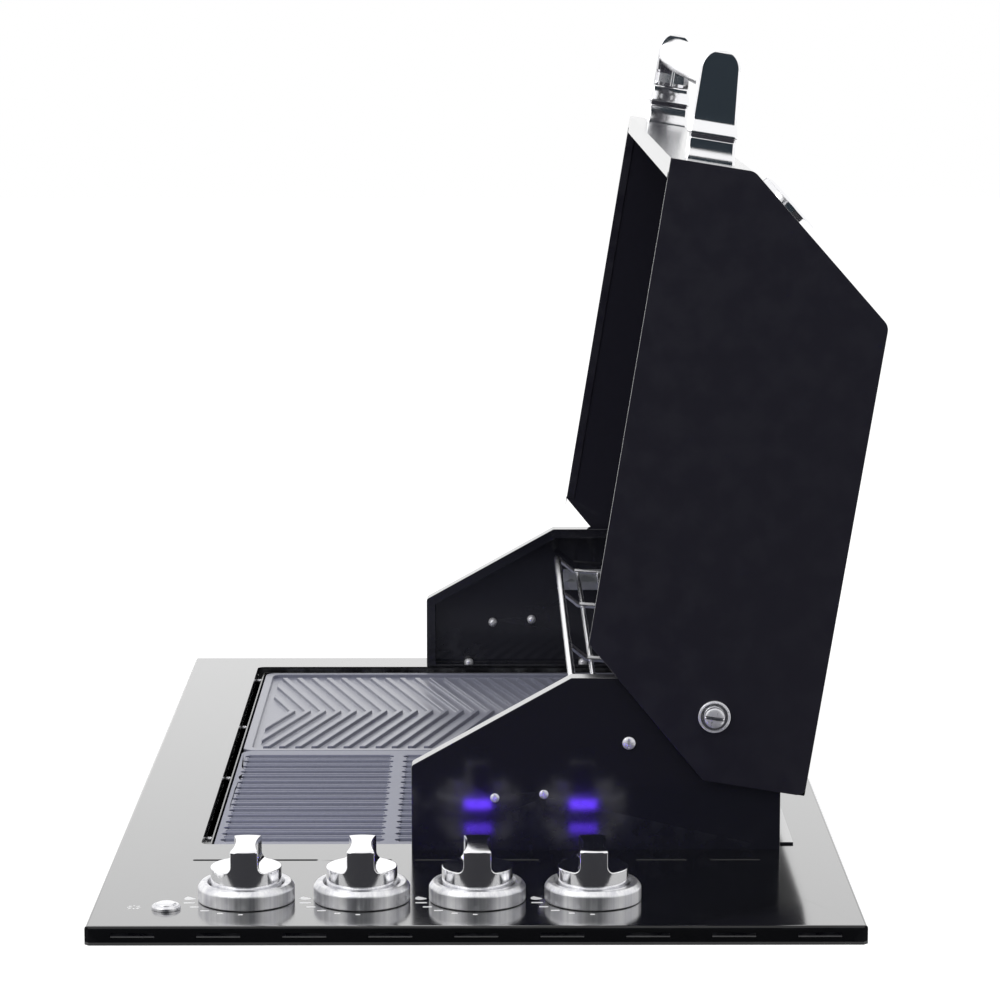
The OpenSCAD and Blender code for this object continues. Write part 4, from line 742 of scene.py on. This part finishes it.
def buildHingeCups():
    # dished washers and the two halves of each slotted dome
    cups, heads = bmesh.new(), bmesh.new()
    hinge = Vector((grill["cookX"], grill["hingeY"], grill["hingeZ"]))
    tilt = math.radians(screwWork["slotTilt"])
    across = Vector((0, math.sin(tilt), math.cos(tilt)))
    for side in (-1, 1):
        outwards = Vector((side, 0, 0))
        ring = spunProfile(screwWork["cup"], screwWork["cupSides"])
        addTo(cups, ring, standing(hinge + outwards * screwWork["cupFoot"], outwards))
        top = hinge + outwards * screwWork["headTop"]
        for half in (-1, 1):
            dome = bmesh.new()
            addDome(dome, top, outwards, *screwWork["headDome"])
            bmesh.ops.bisect_plane(
                dome, geom=dome.verts[:] + dome.edges[:] + dome.faces[:], dist=meshWork["cut"],
                plane_co=(top + across * half * screwWork["slotHalf"]) * mm, plane_no=across * half,
                clear_inner=True)
            bmesh.ops.holes_fill(dome, edges=dome.edges[:], sides=0)
            addTo(heads, dome)
    faceOutwards(heads)
    finishDomes(cups, "hingeCups")
    finishDomes(heads, "hingeDomes")


def buildScrews():
    for name, pieceName in (("bracket_screws", "bracketScrews"), ("liner_screws", "linerScrews"),
                            ("handle_screws", "handleScrews")):
        dressNode(name, pieceName, **screwWork["small"], finish=finishes["zincPlated"])
    dressNode("hinge_bolts", "hingeBolts", **screwWork["bolts"])
    dressNode("hinge_nuts", "hingeNuts", **screwWork["nuts"])
    dressNode("hinge_bushes", "hingeBushes", **screwWork["bushes"])
    domes = bmesh.new()
    for side in (-1, 1):
        for y, z in screwWork["webs"]:
            x = grill["cookX"] + side * screwWork["innerWeb"]
            addDome(domes, (x, y, z), (-side, 0, 0), *screwWork["webDome"])
        for y in screwWork["feet"]:
            x = grill["cookX"] + side * screwWork["footX"]
            addDome(domes, (x, y, screwWork["footTop"]), (0, 0, 1), *screwWork["footDome"])
    finishDomes(domes, "domeNuts")
    buildHingeCups()
    print("screws and hinge fittings dressed")


buildScrews()

# Cast plates and warming rack

castWork = {
    "hotplate": {"width": 0.9, "segments": 3, "over": 35, "smooth": 50},
    "grill_plate": {"width": 0.7, "segments": 3, "over": 35, "smooth": 50},
}


def buildCastPlates():
    dressNode("hotplate", "hotplate", **castWork["hotplate"])
    dressNode("grill_plate", "grillPlate", **castWork["grill_plate"])
    print("cast plates rounded")


buildCastPlates()

rackWork = {
    "half": 317.0, "railY": 71.0, "railZ": 114.0, "railR": 3.0, "railSides": 6,
    "wireZ": 95.0, "wireR": 2.2, "wireSides": 5, "pitch": 18.5, "wires": 6, "sunk": 0.4,
    "crossX": (-314.0, -148.0, 83.0, 314.0), "slope": 10.5, "back": 187.0, "bend": 8.0, "bendSteps": 8,
    "endOver": 60, "endEdge": 0.7, "smooth": 40,
}


def buildRack():
    at = Matrix.Translation(Vector((grill["cookX"], 0, 0)) * mm)
    bm = bmesh.new()
    half, railY, railZ, wireZ, wireR, sides = (
        rackWork[key] for key in ("half", "railY", "railZ", "wireZ", "wireR", "wireSides"))
    rail = [(-half, railY, railZ), (half, railY, railZ)]
    addTo(bm, roundWire(rail, rackWork["railR"], rackWork["railSides"]), at)
    for k in range(1, rackWork["wires"] + 1):
        # the long wires lie on the cross wires, sunk a little where they are welded
        y, z = railY + k * rackWork["pitch"], wireZ + 2 * wireR - rackWork["sunk"]
        addTo(bm, roundWire([(-half, y, z), (half, y, z)], wireR, sides), at)
    for x in rackWork["crossX"]:
        cross = [(x, railY, railZ), (x, railY + rackWork["slope"], wireZ), (x, rackWork["back"], wireZ)]
        addTo(bm, roundWire(cross, wireR, sides, rackWork["bend"], rackWork["bendSteps"]), at)
    bevelEdges(bm, sharpEdges(bm, rackWork["endOver"]), rackWork["endEdge"])
    finishPiece(bm, "warmingRack", "bright_steel", "warming_rack", ("warming_rack",), rackWork["smooth"])
    print("warming rack bent")


buildRack()

# Hood, handle and thermometer, built in the open pose that the CAD holds

hoodWork = {"width": 0.4, "over": 40}


def buildHood():
    dressNode("hood_shell", "hoodShell", **hoodWork)
    for side in ("left", "right"):
        dressNode("hood_side_" + side, "hoodSide" + side.capitalize(), **hoodWork)
    print("hood dressed")


buildHood()

handleWork = {
    "spread": 292.0, "front": -387.0, "baseZ": -85.6, "corner": 2.6, "low": 1.0, "high": 36.0, "taper": 0.1,
    # reach from the hood, half width, and how far the height grows at each end
    "foot": ((0.0, 14.8, 0.6), (4.0, 14.0, 0.3), (8.0, 12.7, 0.0), (11.0, 11.9, 0.0), (14.0, 11.5, 0.0),
             (18.0, 11.4, 0.0), (18.3, 14.2, 0.6), (18.8, 15.0, 0.9), (19.6, 15.2, 1.0), (22.0, 14.6, 0.8),
             (25.0, 13.3, 0.5), (28.0, 12.0, 0.2), (31.0, 11.2, 0.0), (33.0, 11.0, 0.0), (46.0, 11.0, 0.0),
             (65.0, 11.0, 0.0)),
    "tipStart": 65.0, "tipRound": 13.0, "tipTurns": tuple(range(9, 91, 9)), "tipEdge": 1.4, "tipSharp": 8,
    "half": 11.0, "recess": (33.0, 46.0), "recessRim": 2.6, "recessDepth": 7.0, "recessFacing": -0.9,
    "rib": (7.0, 2.4), "ribEdge": 0.5, "ribInset": 4.5, "ribDrop": 1.0, "smooth": 50,
    "tube": {"width": 0.3, "over": 40},
}


def handleStations():
    # reach, half width, middle and height of each section of a bracket
    ends = []
    for reach, half, grow in handleWork["foot"]:
        high = handleWork["high"] - handleWork["taper"] * reach
        ends.append((reach, half, handleWork["low"] - grow, high + grow))
    high = handleWork["high"] - handleWork["taper"] * handleWork["tipStart"]
    for turn in handleWork["tipTurns"]:
        reach = handleWork["tipStart"] + handleWork["tipRound"] * math.sin(math.radians(turn))
        half = handleWork["half"] - handleWork["tipEdge"] * (turn / 90) ** handleWork["tipSharp"]
        inset = handleWork["tipRound"] * (1 - math.cos(math.radians(turn)))
        ends.append((reach, half, handleWork["low"] + inset, high - inset))
    return [(reach, half, (low + high) / 2, high - low) for reach, half, low, high in ends]


def bracketCasting():
    # a section drawn out from the foot to the tip, hollowed on the side that faces the other bracket
    stations = handleStations()
    lastHalf, lastMiddle, lastHeight = stations[0][1:]
    bm = roundedGrid(2 * lastHalf, lastHeight, handleWork["corner"])
    bmesh.ops.translate(bm, vec=Vector((0, lastMiddle, 0)) * mm, verts=bm.verts[:])
    faces = bm.faces[:]
    for reach, half, middle, height in stations[1:]:
        made = bmesh.ops.extrude_face_region(bm, geom=faces)["geom"]
        faces = [item for item in made if isinstance(item, bmesh.types.BMFace)]
        for vert in (item for item in made if isinstance(item, bmesh.types.BMVert)):
            vert.co.x *= half / lastHalf
            vert.co.y = middle * mm + (vert.co.y - lastMiddle * mm) * (height / lastHeight)
            vert.co.z = reach * mm
        lastHalf, lastMiddle, lastHeight = half, middle, height
    faceOutwards(bm)
    start, end = handleWork["recess"]
    hollow = [face for face in bm.faces if face.normal.x < handleWork["recessFacing"]
              and start * mm < face.calc_center_median().z < end * mm]
    bmesh.ops.inset_region(
        bm, faces=hollow, thickness=handleWork["recessRim"] * mm, depth=-handleWork["recessDepth"] * mm)
    rib = bmesh.new()
    bmesh.ops.create_cube(rib, size=1.0)
    bmesh.ops.scale(rib, vec=Vector((*handleWork["rib"], end - start)) * mm, verts=rib.verts[:])
    bevelEdges(rib, rib.edges[:], handleWork["ribEdge"])
    centre = Vector((
        handleWork["ribInset"] - handleWork["half"], handleWork["high"] / 2 - handleWork["ribDrop"],
        (start + end) / 2))
    addTo(bm, rib, Matrix.Translation(centre * mm))
    return bm


def buildHandle():
    pair = bmesh.new()
    for side in (-1, 1):
        # the casting's length runs away from the hood's front, its height up the hood
        stand = Matrix((
            (side, 0, 0, side * handleWork["spread"] * mm), (0, 0, -1, handleWork["front"] * mm),
            (0, 1, 0, handleWork["baseZ"] * mm), (0, 0, 0, 1)))
        addTo(pair, bracketCasting(), openHood @ stand)
    faceOutwards(pair)
    finishPiece(pair, "handleBrackets", slotOf["handle_brackets"], "hood", ("handle_brackets",),
                handleWork["smooth"])
    dressNode("handle_tube", "handleTube", **handleWork["tube"])
    print("handle built")


buildHandle()

gaugeWork = {
    "place": (0.0, -341.15, 18.1), "tilt": 50.54, "dialTop": 3.02, "start": 225.0, "sweep": 270.0,
    "ticks": 24, "longEvery": 4, "tickRadius": 23.2, "long": (3.6, 0.7), "short": (2.0, 0.4),
    "numbers": range(50, 351, 50), "numberRadius": 17.0, "numberSize": 4.6,
    "case": {"width": 0.3}, "bezel": {"width": 0.5, "segments": 3, "over": 25}, "nut": {"width": 0.4},
}


def dialText(words, size):
    letters = bpy.data.curves.new("dialText", "FONT")
    letters.body = words
    letters.size = size * mm
    letters.align_x, letters.align_y = "CENTER", "CENTER"
    return meshOf("dialText", letters)


def dialPlace(share, radius):
    # the turn and the place of a mark on the dial, at a share of the scale from 0 to 1
    turn = math.radians(gaugeWork["start"] - gaugeWork["sweep"] * share)
    spot = Vector((math.cos(turn), math.sin(turn), 0)) * radius + Vector((0, 0, gaugeWork["dialTop"]))
    return turn, Matrix.Translation(spot * mm)


def buildDialMarks():
    bm = bmesh.new()
    for k in range(gaugeWork["ticks"] + 1):
        turn, place = dialPlace(k / gaugeWork["ticks"], gaugeWork["tickRadius"])
        bar = flatBar(*gaugeWork["short" if k % gaugeWork["longEvery"] else "long"])
        addTo(bm, bar, place @ Matrix.Rotation(turn, 4, "Z"))
    last = len(gaugeWork["numbers"]) - 1
    for k, number in enumerate(gaugeWork["numbers"]):
        place = dialPlace(k / last, gaugeWork["numberRadius"])[1]
        addTo(bm, dialText(str(number), gaugeWork["numberSize"]), place)
    raiseFlat(bm)
    tilt = Matrix.Rotation(math.radians(gaugeWork["tilt"]), 4, "X")
    stand = Matrix.Translation(Vector(gaugeWork["place"]) * mm) @ tilt
    bmesh.ops.transform(bm, matrix=openHood @ stand, verts=bm.verts[:])
    finishPiece(bm, "dialMarks", "markBlack", "hood")


def buildThermometer():
    dressNode("thermometer_case", "gaugeCase", **gaugeWork["case"])
    dressNode("thermometer_bezel", "gaugeBezel", **gaugeWork["bezel"])
    dressNode("thermometer_nut", "gaugeNut", **gaugeWork["nut"])
    buildDialMarks()
    print("thermometer built")


buildThermometer()

# Knobs, bezels and ignition button

knobWork = {
    "knob": {"width": 0.7, "segments": 3, "over": 40, "smooth": 40},
    "ring": {"width": 0.3}, "button": {"width": 0.5, "segments": 3},
    "bezelEdge": 0.3, "bezelOver": 35, "bezelFoot": 0.5, "lensArc": 35.0, "lensSteps": 16, "lensSmooth": 40,
    "lens": ((31.6, 15.7), (33.2, 15.7), (33.4, 16.2), (33.4, 25.0), (33.0, 25.5), (31.6, 25.5),
             (31.6, 15.7)),
}


def buildKnobs():
    for number in "1234":
        dressNode("burner_knob_" + number, "knob" + number, **knobWork["knob"])
    bm = fromNode("knob_bezels")
    aboveFoot = (grill["top"] + knobWork["bezelFoot"]) * mm
    rims = sharpEdges(
        bm, knobWork["bezelOver"], lambda edge: min(vert.co.z for vert in edge.verts) > aboveFoot)
    bevelEdges(bm, rims, knobWork["bezelEdge"])
    finishPiece(
        bm, "knobBezels", slotOf["knob_bezels"], "grill", ("knob_bezels",), finish=finishes["bezelTurned"])
    lenses = bmesh.new()
    turn = Matrix.Rotation(math.radians(180 - knobWork["lensArc"] / 2), 4, "Z")
    for y in grill["knobY"]:
        place = Matrix.Translation(Vector((grill["knobX"], y, 0)) * mm) @ turn
        addTo(lenses, spunProfile(knobWork["lens"], knobWork["lensSteps"], knobWork["lensArc"]), place)
    bmesh.ops.holes_fill(lenses, edges=lenses.edges[:], sides=0)
    faceOutwards(lenses)
    finishPiece(lenses, "bezelLenses", "lens_violet", "grill", ("indicator_lenses",), knobWork["lensSmooth"])
    dressNode("igniter_ring", "igniterRing", **knobWork["ring"], finish=finishes["bezelTurned"])
    dressNode("igniter_button", "igniterButton", **knobWork["button"])
    print("knobs and ignition button built")


buildKnobs()

# Printed marks round the knobs and the ignition button

markWork = {
    # turn and length of each dash, from the flame round to the lowest setting
    "dashes": ((14.3, 8.0), (31.0, 6.4), (48.3, 6.0), (67.2, 4.2), (88.0, 3.3)), "reach": 39.4, "thick": 2.8,
    "lift": 0.01, "flameTurn": -3.0, "flame": (7.3, 9.0), "flameSides": 32, "flamePoint": 2.2,
    "flameSwell": 1.25, "flameSway": (0.12, 5.0),
    "spark": (402.8, -231.5), "sparkSize": 9.0, "rays": 8, "rayLengths": (0.26, 0.34), "rayThick": 1.6,
    "rayStart": 0.4,
}


def flameShape(width, height):
    # a circle drawn to a point, with a slight sway
    sway, bends = markWork["flameSway"]
    bm = bmesh.new()
    bmesh.ops.create_circle(bm, cap_ends=True, radius=0.5, segments=markWork["flameSides"])
    for vert in bm.verts:
        up = vert.co.y + 0.5
        vert.co.x *= width * mm * (1.0 - up ** markWork["flamePoint"]) * markWork["flameSwell"]
        vert.co.x += sway * width * mm * math.sin(up * bends)
        vert.co.y *= height * mm
    return bm


def buildMarks():
    bm = bmesh.new()
    base = grill["top"] + markWork["lift"]
    across = Matrix.Rotation(math.pi / 2, 4, "Z")
    for y in grill["knobY"]:
        centre = Vector((grill["knobX"], y, base))
        shapes = [(turn, flatBar(length, markWork["thick"])) for turn, length in markWork["dashes"]]
        shapes.append((markWork["flameTurn"], flameShape(*markWork["flame"])))
        for turn, shape in shapes:
            angle = math.radians(turn)
            away = Vector((math.sin(angle), -math.cos(angle), 0))
            addTo(bm, shape, Matrix.Translation((centre + away * markWork["reach"]) * mm) @ across)
    spot = Vector((*markWork["spark"], base)) * mm
    for k in range(markWork["rays"]):
        turn = math.tau * k / markWork["rays"]
        ray = flatBar(markWork["sparkSize"] * markWork["rayLengths"][k % 2], markWork["rayThick"])
        out = Vector((math.cos(turn), math.sin(turn), 0)) * markWork["sparkSize"] * markWork["rayStart"] * mm
        addTo(bm, ray, Matrix.Translation(spot + out) @ Matrix.Rotation(turn, 4, "Z"))
    raiseFlat(bm)
    finishPiece(bm, "plateMarks", "markWhite", "grill")
    print("plate marks printed")


buildMarks()

# Floor, cards, lamps and world

studio = {
    "floorSize": 14.0, "holeX": 438.0, "holeY": 248.0, "floorTone": 0.5, "floorGlow": 0.82,
    # name, colour and corners of each card
    "cards": (
        ("floorCard", (0.01, 0.01, 0.014),
         ((0.4385, -2.0, 0.002), (3.4, -2.0, 0.002), (3.4, 2.0, 0.002), (0.4385, 2.0, 0.002))),
        ("backCard", (0.035, 0.05, 0.065),
         ((3.4, -2.0, 0.0), (3.4, 2.0, 0.0), (3.4, 2.0, 2.2), (3.4, -2.0, 2.2)))),
    # name, place, aim, size and power of each lamp
    "lamps": (
        ("overhead", (0.2, 0.0, 2.6), (0, 0, 0), (3.2, 3.2), 30.0),
        ("side", (1.35, -1.4, 1.7), (0, 0.1, 0.35), (1.2, 1.2), 7.0),
        ("rear", (-3.6, 0.0, 0.95), (0, 0, 0.6), (7.0, 1.6), 5.0)),
    "worldLight": 0.5, "worldSeen": 1.0,
}


def stageMesh(bm, name, finish):
    mesh = bpy.data.meshes.new(name)
    bm.to_mesh(mesh)
    bm.free()
    mesh.materials.append(finish)
    return addObject(name, mesh)


def seenMask(tree):
    # 1 for what the camera sees, also in a mirror or through glass, and 0 for what only lights
    path = tree.nodes.new("ShaderNodeLightPath")
    seen = mathNode(tree, "MAXIMUM", path.outputs["Is Camera Ray"], path.outputs["Is Glossy Ray"])
    return mathNode(tree, "MAXIMUM", seen, path.outputs["Is Transmission Ray"])


def makeFloorFinish():
    finish = bpy.data.materials.new("paleFloor")
    tree = emptyTree(finish)
    lit = addNode(tree, "ShaderNodeBsdfDiffuse", Color=(*[studio["floorTone"]] * 3, 1.0))
    glow = addNode(tree, "ShaderNodeEmission")
    tree.links.new(mathNode(tree, "MULTIPLY", seenMask(tree), studio["floorGlow"]), glow.inputs["Strength"])
    both = tree.nodes.new("ShaderNodeAddShader")
    tree.links.new(lit.outputs[0], both.inputs[0])
    tree.links.new(glow.outputs[0], both.inputs[1])
    showShader(tree, both)
    return finish


def buildFloor():
    # a pale worktop with the grill's cut-out in it
    bm = bmesh.new()
    bmesh.ops.create_grid(bm, x_segments=3, y_segments=3, size=studio["floorSize"] / 2)
    for vert in bm.verts:
        for axis, half in ((0, studio["holeX"]), (1, studio["holeY"])):
            if abs(vert.co[axis]) < studio["floorSize"] / 3:
                vert.co[axis] = math.copysign(half * mm, vert.co[axis])
    middle = min(bm.faces, key=lambda face: face.calc_center_median().length)
    bmesh.ops.delete(bm, geom=[middle], context="FACES")
    floor = stageMesh(bm, "floor", makeFloorFinish())


def addCard(name, tone, corners):
    # a dark board that only mirrors see, as the unlit half of a studio
    finish = bpy.data.materials.new(name)
    finish.use_nodes = True
    shader = finish.node_tree.nodes["Principled BSDF"]
    shader.inputs["Base Color"].default_value = (*tone, 1.0)
    shader.inputs["Roughness"].default_value = 1.0
    bm = bmesh.new()
    bm.faces.new([bm.verts.new(corner) for corner in corners])
    card = stageMesh(bm, name, finish)
    card.visible_camera = card.visible_diffuse = card.visible_shadow = card.visible_transmission = False


def addLamp(name, place, aim, size, power):
    lamp = bpy.data.lights.new(name, "AREA")
    lamp.shape = "RECTANGLE"
    lamp.size, lamp.size_y = size
    lamp.energy = power
    holder = addObject(name, lamp)
    holder.location = place
    holder.rotation_euler = (Vector(aim) - Vector(place)).to_track_quat("-Z", "Y").to_euler()
    holder.visible_camera = False
    holder.visible_glossy = name != "overhead"


def buildWorld():
    world = bpy.data.worlds.new("studio")
    scene.world = world
    tree = emptyTree(world)
    light = addNode(tree, "ShaderNodeBackground", Color=(1.0, 1.0, 1.0, 1.0))
    level = rangeNode(tree, seenMask(tree), 0.0, 1.0, studio["worldLight"], studio["worldSeen"])
    tree.links.new(level, light.inputs["Strength"])
    showShader(tree, light, "World")


buildFloor()
for card in studio["cards"]:
    addCard(*card)
for lamp in studio["lamps"]:
    addLamp(*lamp)
buildWorld()
scene.view_settings.view_transform = "Standard"
print("studio ready")
